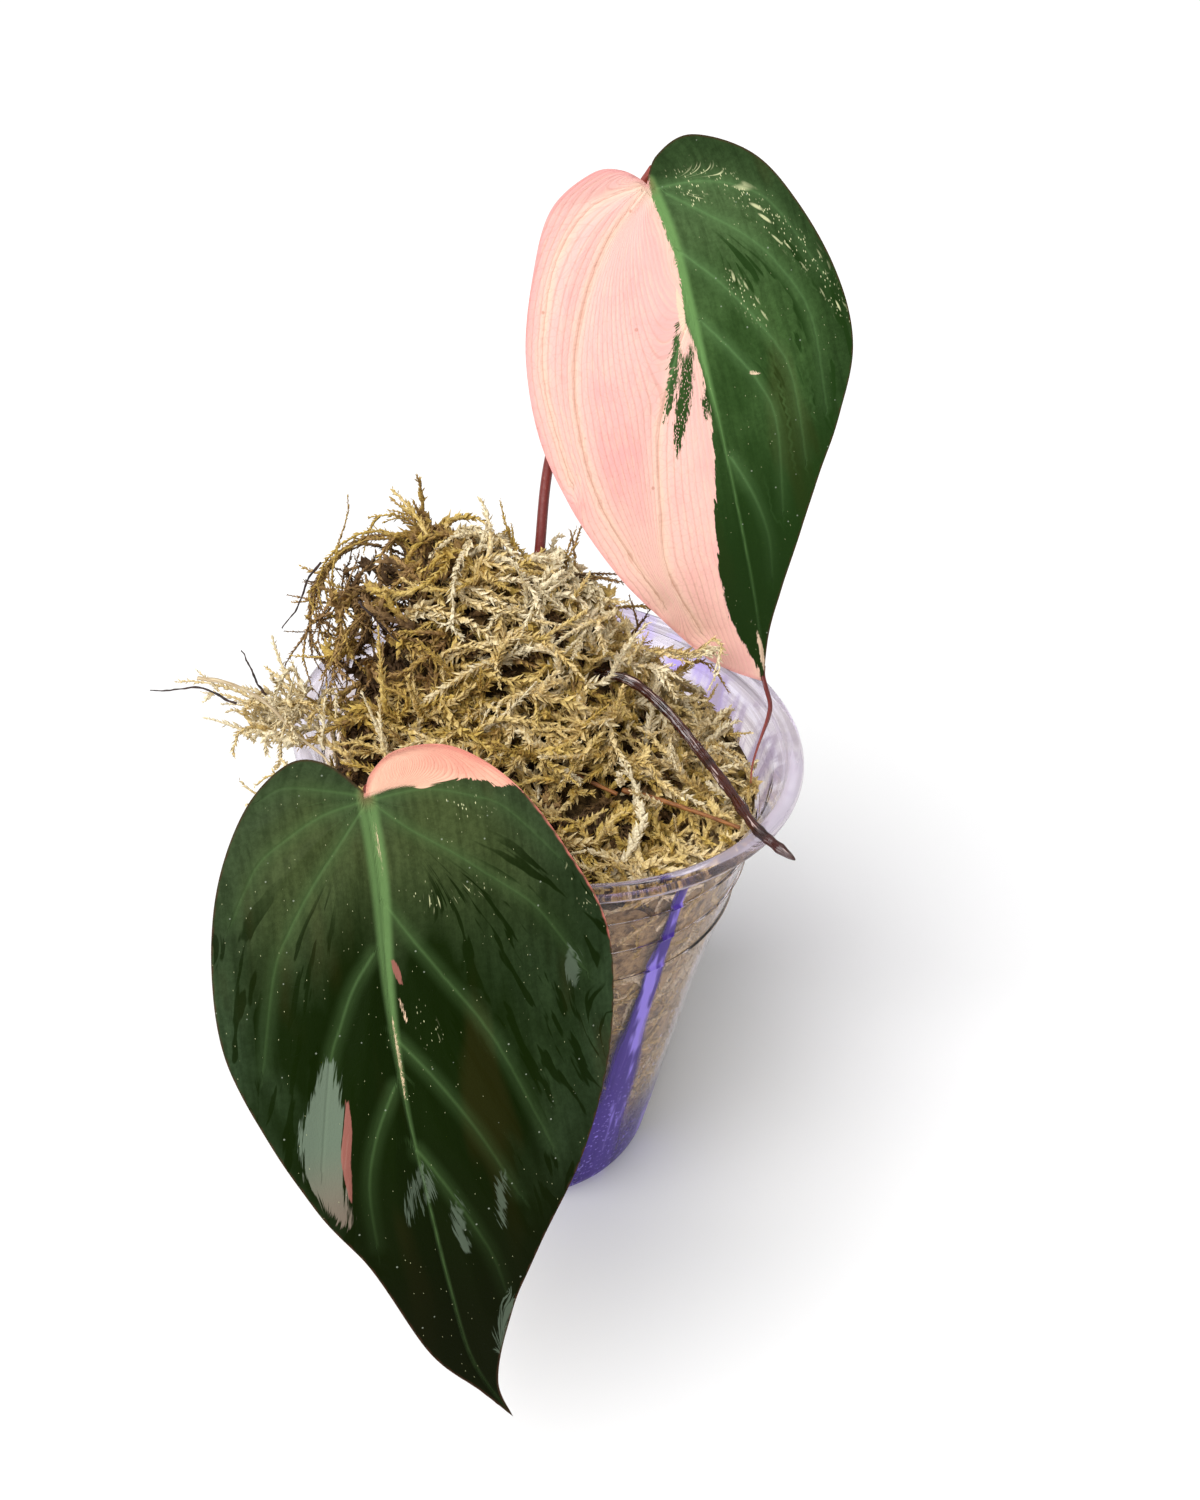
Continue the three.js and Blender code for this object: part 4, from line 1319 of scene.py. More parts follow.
@dataclass
class DrinkCup:
    """A clear drink cup: a thin flared wall with a rolled rim, three raised rings and a grooved foot."""

    wall: float = 0.6
    foot_corner: Spot = (31.3, 4.5)
    wall_points: Outline = ((31.3, 4.5), (36.6, 54.0), (40.8, 83.0), (43.9, 103.0))
    bead_radius: float = 47.3
    bead_height: float = 106.3
    bead_section: float = 1.7
    disc: float = 10.0
    groove: Point = (12.5, 19.5, 1.2)
    foot_ring: Spot = (22.0, 27.5)
    ring_heights: tuple[float, ...] = (76.5, 85.3, 94.0)
    ring_half: float = 0.8
    ring_proud: float = 0.45

    def outer_radius(self, height: Array | float) -> Array:
        """The outside radius of the plain wall."""
        radii, heights = np.array(self.wall_points).T
        return np.interp(height, heights, radii)

    def inner_radius(self, height: Array | float) -> Array:
        """The inside radius of the plain wall."""
        return self.outer_radius(height) - self.wall

    def _corner(self, inset: float) -> list[Spot]:
        """The rounded corner from the foot ring to the wall, moved inwards by the inset."""
        start, end = np.array([self.foot_ring[1], 0.0]), np.array(self.foot_corner)
        middle = np.array([self.foot_corner[0] - 0.4, 0.5])
        share = np.linspace(0, 1, 10)[:, None]
        spots = (1 - share) ** 2 * start + 2 * share * (1 - share) * middle + share**2 * end
        return [(float(r) - inset * float(z > 0.4), float(z) + inset * float(z <= 3.5)) for r, z in spots]

    def _wall(self, inset: float) -> list[Spot]:
        """The wall from the corner to below the rim with its raised rings, moved inwards by the inset."""
        low, high = self.foot_corner[1] + 2, self.wall_points[-1][1]
        heights = {low, high, *np.linspace(low, high, 26).tolist()}
        for ring in self.ring_heights:
            heights.update((ring + np.linspace(-1.5, 1.5, 9) * self.ring_half).tolist())
        spots = []
        for z in sorted(heights):
            proud = sum(peak(z - ring, 0.6 * self.ring_half) for ring in self.ring_heights)
            spots.append((float(self.outer_radius(z) + self.ring_proud * proud) - inset, z))
        return spots

    def _bead(self) -> list[Spot]:
        """The rolled rim, from under its outer side over the top to its inner side."""
        middle, section = (self.bead_radius, self.bead_height), self.bead_section
        angles = np.radians(np.linspace(-130, 160, 28))
        return [(middle[0] + section * math.cos(a), middle[1] + section * math.sin(a)) for a in angles]

    def _foot(self, lift: float) -> list[Spot]:
        """The underside from the middle outwards, with its groove, raised by the lift."""
        inner, outer, depth = self.groove
        spots = [(0.0, 0.0), (self.disc, 0.0), (inner, depth), (outer, depth), (self.foot_ring[0], 0.0)]
        return [(r, z + lift) for r, z in spots]

    def build(self) -> Piece:
        """Builds the cup."""
        outside = self._foot(0.0) + self._corner(0.0) + self._wall(0.0) + self._bead()
        inside = self._foot(self.wall) + self._corner(self.wall) + self._wall(self.wall)
        return lathe("drink_cup", outside + inside[::-1], ClearPlastic().build())


# Geometry Nodes


class Growth(Tree):
    """A Geometry Nodes tree with named inputs, run once on an object and turned into a plain mesh."""

    SOCKETS = {float: "Float", int: "Int", Material: "Material", Piece: "Object"}

    def __init__(self, name: str) -> None:
        """Starts a tree that takes and gives geometry."""
        group = bpy.data.node_groups.new(name, "GeometryNodeTree")
        super().__init__(group)
        for way in ("INPUT", "OUTPUT"):
            group.interface.new_socket("Geometry", in_out=way, socket_type="NodeSocketGeometry")
        self.entry = group.nodes.new("NodeGroupInput")
        self.exit = group.nodes.new("NodeGroupOutput")
        self.settings: dict[str, float | int | bpy.types.ID] = {}

    def source(self) -> Value:
        """The geometry that the tree starts from."""
        return Value(self, self.entry.outputs["Geometry"])

    def size(self, name: str, value: float | int | bpy.types.ID) -> Value:
        """Adds a named input with its value."""
        kind = "NodeSocket" + self.SOCKETS[type(value)]
        socket = self.tree.interface.new_socket(name, in_out="INPUT", socket_type=kind)
        self.settings[socket.identifier] = value
        return Value(self, self.entry.outputs[name])

    def shape(self, name: str, pattern: Piece) -> Value:
        """The geometry of an object that is to be repeated, taken from a named input."""
        held = self.size(name, pattern)
        return self.node("GeometryNodeObjectInfo", inputs={"Object": held}, output="Geometry")

    def stored(self, name: str) -> Value:
        """A number that the geometry holds under a name."""
        return self.node("GeometryNodeInputNamedAttribute", inputs={"Name": name}, output="Attribute")

    def keep(self, geometry: Value, name: str, value: Input) -> Value:
        """Stores a number on every point under a name."""
        inputs = {0: geometry, "Name": name, "Value": value}
        return self.node("GeometryNodeStoreNamedAttribute", inputs=inputs)

    def random(self, low: float, high: float, seed: Value, salt: int = 0) -> Value:
        """A random number for each element.

        Args:
            low: The smallest.
            high: The largest.
            seed: The seed that the whole tree shares.
            salt: A number that sets this draw apart from others of the same seed.

        Returns:
            The number.
        """
        inputs = {2: low, 3: high, 7: self.node("GeometryNodeInputIndex") + salt, 8: seed}
        return self.node("FunctionNodeRandomValue", {"data_type": "FLOAT"}, inputs, 1)

    def turned(self, rotation: Value, axis: Point, angle: Input) -> Value:
        """A rotation turned further round one of its own axes."""
        by = self.node("FunctionNodeAxisAngleToRotation", inputs={"Axis": axis, "Angle": angle})
        return self.node("FunctionNodeRotateRotation", {"rotation_space": "LOCAL"}, {0: rotation, 1: by})

    def spread(self, points: Value, pattern: Value, rotation: Value, scale: Value) -> Value:
        """The pattern on each of the points, turned and scaled."""
        inputs = {"Points": points, "Instance": pattern, "Rotation": rotation, "Scale": scale}
        return self.node("GeometryNodeInstanceOnPoints", inputs=inputs)

    def joined(self, *parts: Value) -> Value:
        """Several geometries as one."""
        made = self.node("GeometryNodeJoinGeometry")
        for part in parts:
            self.tree.links.new(part.socket, made.socket.node.inputs[0])
        return made

    def finish(self, geometry: Value, material: Value) -> None:
        """Realizes the instances, sets the material and connects the result."""
        real = self.node("GeometryNodeRealizeInstances", inputs={0: geometry})
        dressed = self.node("GeometryNodeSetMaterial", inputs={"Geometry": real, "Material": material})
        self.tree.links.new(dressed.socket, self.exit.inputs["Geometry"])

    def grow(self, name: str, source: Piece) -> Piece:
        """Runs the tree on the source object and returns the result as a plain mesh object.

        Args:
            name: The new object's name.
            source: The object that the tree starts from. It is deleted, and so are the repeated patterns.

        Returns:
            The new object.
        """
        modifier = source.modifiers.new(name, "NODES")
        modifier.node_group = self.tree
        for identifier, value in self.settings.items():
            modifier[identifier] = value
        graph = bpy.context.evaluated_depsgraph_get()
        evaluated = source.evaluated_get(graph)
        mesh = bpy.data.meshes.new_from_object(evaluated, preserve_all_data_layers=True, depsgraph=graph)
        source.modifiers.remove(modifier)
        patterns = [value for value in self.settings.values() if isinstance(value, Piece)]
        for used in (source, *patterns):
            bpy.data.objects.remove(used)
        mesh.name = name
        return add_object(name, mesh)


@dataclass
class Droplets:
    """Condensation on the lower inside of the cup's wall, as flattened drops."""

    cup: DrinkCup
    low: float = 5.0
    high: float = 60.0
    gap: float = 1.05
    smallest: float = 0.16
    largest: float = 0.62
    flatness: float = 0.55
    off_wall: float = 0.02
    per_square_metre: float = 900000.0
    rows: int = 12
    columns: int = 60
    seed: int = 4

    def build(self) -> Piece:
        """Spreads the drops over the wall."""
        heights = np.linspace(self.low, self.high, self.rows)[:, None]
        rings = around_axis(self.cup.inner_radius(heights) - self.off_wall, full_turn(self.columns), heights)
        inward = [face[::-1] for face in grid_faces(self.rows, self.columns, True)]
        material = WaterDrops().build()
        wall = add_mesh("drop_wall", rings.reshape(-1, 3), inward, material)
        store(wall, "wet", 1 - np.repeat(np.linspace(0, 1, self.rows), self.columns) ** 1.5)
        return self._tree(material).grow("droplets", wall)

    def _tree(self, material: Material) -> Growth:
        """The tree that places and sizes the drops.

        Args:
            material: Their finish.

        Returns:
            The tree, which runs on the wall.
        """
        tree = Growth("drops_on_wall")
        seed = tree.size("Seed", self.seed)
        inputs = {
            "Mesh": tree.source(),
            "Distance Min": tree.size("Gap", self.gap * MM),
            "Density Max": self.per_square_metre,
            "Density Factor": tree.stored("wet"),
            "Seed": seed,
        }
        points = tree.node("GeometryNodeDistributePointsOnFaces", {"distribute_method": "POISSON"}, inputs)
        size = tree.random(0.0, 1.0, seed, 11) ** 3 * tree.size("Range", (self.largest - self.smallest) * MM)
        size = size + tree.size("Smallest", self.smallest * MM)
        ball = tree.node("GeometryNodeMeshIcoSphere", inputs={"Radius": 1.0, "Subdivisions": 1})
        smooth = tree.node("GeometryNodeSetShadeSmooth", inputs={0: ball})
        scale = tree.vector(size, size, size * tree.size("Flatness", self.flatness))
        drops = tree.spread(points, smooth, points.twin("Rotation"), scale)
        tree.finish(drops, tree.size("Material", material))
        return tree


# Moss


@dataclass(frozen=True)
class Strands:
    """Paths of moss strands in millimetres, with a thickness and a hue for each."""

    paths: list[Array]
    thickness: Array
    hue: Array

    def __add__(self, other: "Strands") -> "Strands":
        """Both sets together."""
        thickness = np.concatenate([self.thickness, other.thickness])
        return Strands(self.paths + other.paths, thickness, np.concatenate([self.hue, other.hue]))

    def chosen(self, mask: Array) -> "Strands":
        """The strands that the mask picks."""
        paths = [path for path, take in zip(self.paths, mask) if take]
        return Strands(paths, self.thickness[mask], self.hue[mask])

    def lines(self, name: str) -> Piece:
        """An object of plain edges that holds the thickness and hue of each strand."""
        counts = [len(path) for path in self.paths]
        firsts = np.cumsum([0, *counts])
        edges = [(k, k + 1) for first, count in zip(firsts, counts) for k in range(first, first + count - 1)]
        mesh = bpy.data.meshes.new(name)
        mesh.from_pydata((np.vstack(self.paths) * MM).tolist(), edges, [])
        made = add_object(name, mesh)
        store(made, "thickness", np.repeat(self.thickness, counts) * MM)
        store(made, "hue", np.repeat(self.hue, counts))
        return made


@dataclass(frozen=True)
class StrandForm:
    """Form of a moss strand: a thin stalk with pointed, keeled leaflets that wind round it."""

    leaflet: float = 1.85
    half_width: float = 0.48
    keel: float = 0.24
    hook: float = 0.25
    spacing: float = 0.36
    tilt: float = 25.0
    stalk_share: float = 0.5
    seed: int = 7

    def grow(self, name: str, strands: Strands, material: Material) -> Piece:
        """Turns the strands' lines into leafy strands."""
        return self._tree(name, material).grow(name, strands.lines("lines"))

    def _leaflet(self) -> Piece:
        """One leaflet that stands on its root along Z, with its keel outside and its tip bent out."""
        half, rises = self.half_width, np.array([0.0, 0.4, 0.4, 0.44, 1.0])
        sideways, outward = [0, -half, half, 0, 0], [0, 0, 0, -self.keel, -self.hook]
        faces = [(0, 3, 1), (0, 2, 3), (1, 3, 4), (3, 2, 4), (0, 1, 2), (1, 4, 2)]
        places = np.column_stack([sideways, outward, rises * self.leaflet]) * MM
        mesh = bpy.data.meshes.new("leaflet")
        mesh.from_pydata(places.tolist(), [], faces)
        made = add_object("leaflet", mesh)
        store(made, "tip", rises)
        return made

    def _tree(self, name: str, material: Material) -> Growth:
        """The tree that sets leaflets along lines that hold a thickness and a hue.

        Args:
            name: The tree's name.
            material: The strands' finish.

        Returns:
            The tree, which runs on the lines.
        """
        tree = Growth(name)
        seed = tree.size("Seed", self.seed)
        thickness = tree.stored("thickness")
        along = tree.node("GeometryNodeSplineParameter")
        line = tree.node("GeometryNodeMeshToCurve", inputs={0: tree.source()})
        circle = tree.node("GeometryNodeCurvePrimitiveCircle", inputs={"Resolution": 3, "Radius": 1.0})
        slim = thickness * tree.size("Stalk Share", self.stalk_share) * (1.0 - along * 0.7)
        inputs = {0: line, 1: circle, "Scale": slim, "Fill Caps": True}
        stalk = tree.keep(tree.node("GeometryNodeCurveToMesh", inputs=inputs), "tip", 0.0)
        tapered = tree.keep(line, "size", (1.1 - along * along * 0.55) * thickness / MM)
        inputs = {0: tapered, "Length": tree.size("Spacing", self.spacing * MM)}
        points = tree.node("GeometryNodeCurveToPoints", {"mode": "LENGTH"}, inputs)
        turn = tree.node("GeometryNodeInputIndex") * GOLDEN_ANGLE + tree.random(-0.6, 0.6, seed)
        rotation = tree.turned(points.twin("Rotation"), (0.0, 0.0, 1.0), turn)
        tilt = tree.size("Tilt", math.radians(self.tilt)) * tree.random(0.5, 1.6, seed, 3)
        rotation = tree.turned(rotation, (1.0, 0.0, 0.0), tilt)
        size = tree.stored("size") * tree.random(0.6, 1.25, seed, 5)
        pattern = tree.shape("Leaflet", self._leaflet())
        leaflets = tree.spread(points, pattern, rotation, tree.vector(size, size, size))
        tree.finish(tree.joined(stalk, leaflets), tree.size("Material", material))
        return tree


class Clearance:
    """Tells which points of a strand keep clear of the plant and of the cup."""

    SOLIDS = (
        "vine_stem", "upper_petiole", "front_petiole", "upper_leaf", "front_leaf",
        "dry_stalk_1", "dry_stalk_2",
    )

    def __init__(self, cup: DrinkCup, room: float = 1.35) -> None:
        """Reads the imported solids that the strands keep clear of.

        Args:
            cup: The cup, which they stay inside or over the rim of.
            room: The least distance from the middle of a strand to a solid.
        """
        self.cup = cup
        self.room = room
        self.wall_room = 1.1
        self.rim_top = cup.bead_height + cup.bead_section + 0.9
        corners: list[Vector] = []
        faces: list[Face] = []
        for node in self.SOLIDS:
            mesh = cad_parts[node].data
            first = len(corners)
            corners += [vertex.co / MM for vertex in mesh.vertices]
            faces += [tuple(first + k for k in polygon.vertices) for polygon in mesh.polygons]
        self.plant = BVHTree.FromPolygons(corners, faces)

    def free(self, point: Array) -> bool:
        """Whether the point has room round it."""
        inside = math.hypot(point[0], point[1]) < float(self.cup.inner_radius(point[2])) - self.wall_room
        if not inside and point[2] <= self.rim_top:
            return False
        return self.plant.find_nearest(Vector(point), self.room)[0] is None

    def cut(self, strands: Strands, shortest: int = 3) -> Strands:
        """Ends each strand where it would run into something, and drops those left too short.

        Args:
            strands: The strands.
            shortest: The fewest points that a strand keeps.

        Returns:
            The strands that are left.
        """
        kept, numbers = [], []
        for number, path in enumerate(strands.paths):
            free = [self.free(point) for point in path[1:]]
            length = 1 + (free.index(False) if False in free else len(free))
            if length >= shortest:
                kept.append(path[:length])
                numbers.append(number)
        return Strands(kept, strands.thickness[numbers], strands.hue[numbers])


@dataclass(frozen=True)
class Layer:
    """One layer of strands on the heap: how many, how far they lie over its form, and how they look."""

    name: str
    count: int
    low: float
    high: float
    length: Spot
    thickness: Spot
    # Painted shade and light: how much darker (negative) or lighter the layer's strands are than the hue map
    # says.
    painted_shade_shift: float
    sprigs: float
    steps: int = 8


@dataclass(frozen=True)
class Tangle:
    """A loose cloud of strands round a middle."""

    middle: Point
    spread: Point
    heading: Point
    count: int
    length: Spot
    thickness: Spot
    hue: Spot
    curl: float = 0.5
    steps: int = 9


@dataclass(frozen=True)
class Stray:
    """A bundle of strands that stands out of the heap, given by its path from the root to the tip."""

    hue: float
    thickness: float
    path: Path
    count: int = 3
    spread: float = 1.0
    sprigs: float = 1.0


@dataclass
class MossHeap:
    """Dried moss that fills the cup and is heaped above it."""

    cup: DrinkCup
    peak: Spot = (-16.0, 10.0)
    peak_height: float = 34.0
    spread: Spot = (30.0, 19.0)
    base: float = 102.0
    slope: float = -0.13
    reach: float = 42.0
    floor: float = 2.3
    bed_depth: float = 4.6
    lump: float = 1.5
    bed_inset: float = 1.9
    bed_top: float = 97.0
    lining_top: float = 101.0
    lining_depth: Spot = (0.85, 1.4)
    seed: int = 20
    # The value before the last in each layer is painted shade and light: it darkens the deepest strands and
    # lightens the top ones.
    layers: tuple[Layer, ...] = (
        Layer("moss_low_strands", 420, -3.2, -1.2, (10, 18), (1.1, 1.5), -0.5, 0.0),
        Layer("moss_middle_strands", 360, -1.4, 2.2, (12, 22), (1.0, 1.4), -0.06, 0.4),
        Layer("moss_top_strands", 230, 0.2, 5.2, (12, 24), (1.0, 1.4), 0.14, 0.9),
    )

    def __post_init__(self) -> None:
        """Starts the seeded random draws."""
        self.random = np.random.default_rng(self.seed)

    def height(self, x: Array, y: Array) -> Array:
        """The height of the heap's form over a spot, with its lumps."""
        across = np.abs((x - self.peak[0]) / self.spread[0]) ** 3
        back = np.abs((y - self.peak[1]) / self.spread[1]) ** 2.2
        lumps = np.sin(x / 2.7 + 1.9 * np.sin(y / 5.3)) * np.cos(y / 3.1 + 1.6 * np.sin(x / 6.1))
        heap = self.base + self.slope * x + self.peak_height * np.exp(-across - back)
        return heap + self.lump * lumps - 0.6

    def normal(self, x: Array, y: Array, step: float = 1.5) -> Array:
        """The direction out of the heap over a spot, from its slope over a step on each side."""
        slope_x = (self.height(x + step, y) - self.height(x - step, y)) / (2 * step)
        slope_y = (self.height(x, y + step) - self.height(x, y - step)) / (2 * step)
        return unit(np.stack([-slope_x, -slope_y, np.ones_like(slope_x)], axis=-1))

    def hue(self, x: Array, y: Array, z: Array) -> Array:
        """From 0, brown, to 1, pale: brown at the back left, olive in front, straw at top and sides, with
        painted shade at the back and low in front.
        """
        left = between(x, -34, -44) * between(z, 122, 114)
        brown = between(x, -14, -32) * between(z, 110, 124)
        top = between(z, 124, 132) * between(x, -26, -18)
        low = between(z, 110, 102) * between(y, 12, 2)
        hue = 0.54 + 0.22 * between(x, 2, 28) + 0.34 * left + 0.32 * top
        # Painted shade: darker at the back and low in front.
        return hue - 0.4 * brown - 0.25 * between(y, 16, 32) - 0.12 * low

    def loose(self, x: Array, z: Array) -> Array:
        """How open the moss is: 1 at the upper left, where light comes through, and 0 elsewhere."""
        return between(x, -29, -36) * between(z, 110, 116)

    def bed(self) -> Piece:
        """The dense inside of the moss, lumpy on top and a little smaller than its strands."""
        heights = np.linspace(6, self.bed_top, 40)
        side = [(float(self.cup.outer_radius(z)) - self.bed_inset, z) for z in heights]
        top = [(r, self.bed_top + 2) for r in np.linspace(self.reach - 2.5, 0, 40)]
        profile = [(0.0, self.floor), *[(r, self.floor) for r in np.linspace(6, 27, 8)], *side, *top]
        made = lathe("moss_bed", profile, MossBed().build(), 150)
        vertices = made.data.vertices
        places = np.empty(len(vertices) * 3)
        vertices.foreach_get("co", places)
        places = places.reshape(-1, 3) / MM
        x, y, z = places.T
        rim = between(self.reach - np.hypot(x, y), 0, 6)
        height = self.height(x, y) - self.bed_depth - 4 * (1 - rim)
        height = height - between(x, -24, -32) * np.clip(height - 104, 0, 14)
        places[:, 2] = np.where(z > self.bed_top + 1.5, height, z)
        vertices.foreach_set("co", (places * MM).ravel())
        return made

    def _roots(self, count: int) -> Array:
        """Spots spread evenly over the heap's slope."""
        spots: list[Array] = []
        while sum(map(len, spots)) < count:
            radius = self.reach * np.sqrt(self.random.random(count))
            angle = 2 * np.pi * self.random.random(count)
            x, y = radius * np.cos(angle), radius * np.sin(angle)
            wanted = np.clip(1 / self.normal(x, y, 4.0)[:, 2], 1, 3) / 3
            chosen = self.random.random(count) < wanted
            spots.append(np.stack([x[chosen], y[chosen]], axis=-1))
        return np.vstack(spots)[:count]

    def lay(self, layer: Layer) -> Strands:
        """One layer of strands that wander over the heap in curls, with neighbours heading much the same way.

        Args:
            layer: The layer's count and sizes.

        Returns:
            The strands, with their side sprigs.
        """
        draw, count = self.random, layer.count
        spot = self._roots(count)
        step = draw.uniform(*layer.length, count) / (layer.steps - 1)
        x, y = spot.T
        heading = 2.6 * np.sin(x / 7 + 1.3 * np.sin(y / 9)) + 2.4 * np.cos(y / 6 + x / 17)
        heading += draw.normal(0, 0.8, count)
        curl = draw.normal(0, 0.34, count)
        lift = draw.uniform(0.3, 1.0, count)
        phase = draw.uniform(0.55, 1.2, count)
        points = []
        for share in np.arange(layer.steps) / (layer.steps - 1):
            out = self.normal(*spot.T)
            rise = layer.low + (layer.high - layer.low) * lift * np.sin(np.pi * np.clip(share * phase, 0, 1))
            rise = rise - 2.5 * (1 - min(1.0, share * 4))
            ground = np.column_stack([spot, self.height(*spot.T)])
            points.append(ground + out * rise[:, None])
            heading = heading + curl + draw.normal(0, 0.3, count)
            flat = np.stack([np.cos(heading), np.sin(heading), np.zeros(count)], axis=-1)
            ahead = unit(flat - (flat * out).sum(axis=1, keepdims=True) * out)
            spot = spot + ahead[:, :2] * step[:, None]
        paths = np.stack(points, axis=1)
        x, y, z = paths[:, layer.steps // 2].T
        # The hue carries painted shade and light: the map darkens the back and the low front, and the layer's
        # shift darkens deep strands and lightens top ones.
        hue = self.hue(x, y, z) + layer.painted_shade_shift + draw.normal(0, 0.13, count)
        made = Strands(list(paths), draw.uniform(*layer.thickness, count), hue)
        made = made.chosen(draw.random(count) > 0.75 * self.loose(x, z))
        return made + self.branch(made, layer.sprigs)

    def branch(self, strands: Strands, share: float, length: Spot = (4.0, 8.5), steps: int = 5) -> Strands:
        """Short side sprigs that leave some of the strands at an angle.

        Args:
            strands: The strands.
            share: The share of them that have a sprig.
            length: The sprigs' shortest and longest length.
            steps: The points of a sprig.

        Returns:
            The sprigs.
        """
        draw = self.random
        picked = strands.chosen(draw.random(len(strands.paths)) < share)
        along = np.linspace(0, 1, steps)[:, None]
        paths = []
        for path in picked.paths:
            k = int(draw.integers(1, len(path) - 1))
            ahead = unit(path[k] - path[k - 1])
            side = unit(np.cross(ahead, draw.normal(0, 1, 3)))
            bend = draw.normal(0, 0.45, 3)
            sprig = (0.6 * ahead + 0.8 * side) * along + bend * along**2
            paths.append(path[k] + sprig * draw.uniform(*length))
        hue = picked.hue + draw.normal(0.05, 0.06, len(paths))
        return Strands(paths, picked.thickness * 0.85, hue)

    def line_wall(self, count: int = 760, steps: int = 6) -> Strands:
        """Strands that lie against the inside of the wall.

        Args:
            count: How many there are.
            steps: The points of each.

        Returns:
            The strands.
        """
        draw = self.random
        angle = draw.uniform(0, 2 * np.pi, count)
        height = draw.uniform(self.floor + 2, self.lining_top - 1, count)
        step = draw.uniform(8, 15, count) / (steps - 1)
        heading = draw.uniform(0, 2 * np.pi, count)
        curl = draw.normal(0, 0.25, count)
        depth = draw.uniform(*self.lining_depth, count)
        points = []
        for _ in range(steps):
            radius = self.cup.inner_radius(height) - depth
            points.append(around_axis(radius, angle, height))
            heading = heading + curl + draw.normal(0, 0.3, count)
            angle = angle + step * np.cos(heading) / radius
            edge = self.height(radius * np.cos(angle), radius * np.sin(angle)) - 2
            height = height + step * np.sin(heading)
            height = np.clip(height, self.floor + 2.5, np.minimum(edge, self.lining_top))
        hue = 0.8 + draw.normal(0, 0.16, count)
        return Strands(list(np.stack(points, axis=1)), draw.uniform(0.85, 1.15, count), hue)

    def scatter(self, tangle: Tangle) -> Strands:
        """The strands of a loose cloud.

        Args:
            tangle: The cloud's place and what its strands are like.

        Returns:
            The strands.
        """
        draw, count = self.random, tangle.count
        middle, spread = np.array(tangle.middle), np.array(tangle.spread)
        place = middle + spread * draw.normal(0, 0.5, (count, 3))
        ahead = np.array(tangle.heading) + draw.normal(0, 0.6, (count, 3))
        step = draw.uniform(*tangle.length, count)[:, None] / (tangle.steps - 1)
        turn = draw.normal(0, tangle.curl, (count, 3))
        points = []
        for _ in range(tangle.steps):
            points.append(place)
            back = (middle - place) / spread**2 * 3.0
            ahead = unit(ahead + turn * 0.6 + draw.normal(0, 0.22, (count, 3)) + back * 0.5)
            place = place + ahead * step
        hue = draw.uniform(*tangle.hue, count)
        return Strands(list(np.stack(points, axis=1)), draw.uniform(*tangle.thickness, count), hue)

    def follow(self, stray: Stray, samples: int = 9) -> Strands:
        """Strands that run along a given path and part from it towards its end.

        Args:
            stray: The path and what the strands on it are like.
            samples: The points of each strand.

        Returns:
            The strands, with their side sprigs.
        """
        draw = self.random
        share = np.linspace(0, 1, samples)[:, None]
        paths = []
        for k in range(stray.count):
            start, end = (0.0, 1.0) if k == 0 else (draw.uniform(0, 0.45), draw.uniform(0.65, 1.0))
            line = curve(stray.path, np.linspace(start, end, samples))
            away, bow = draw.normal(0, stray.spread * min(k, 1), (2, 3))
            paths.append(line + away * share**1.5 + 0.5 * bow * np.sin(np.pi * share))
        thickness = draw.uniform(0.8, 1.05, stray.count) * stray.thickness
        made = Strands(paths, thickness, stray.hue + draw.normal(0, 0.08, stray.count))
        return made + self.branch(made, stray.sprigs, (3.0, 6.0))


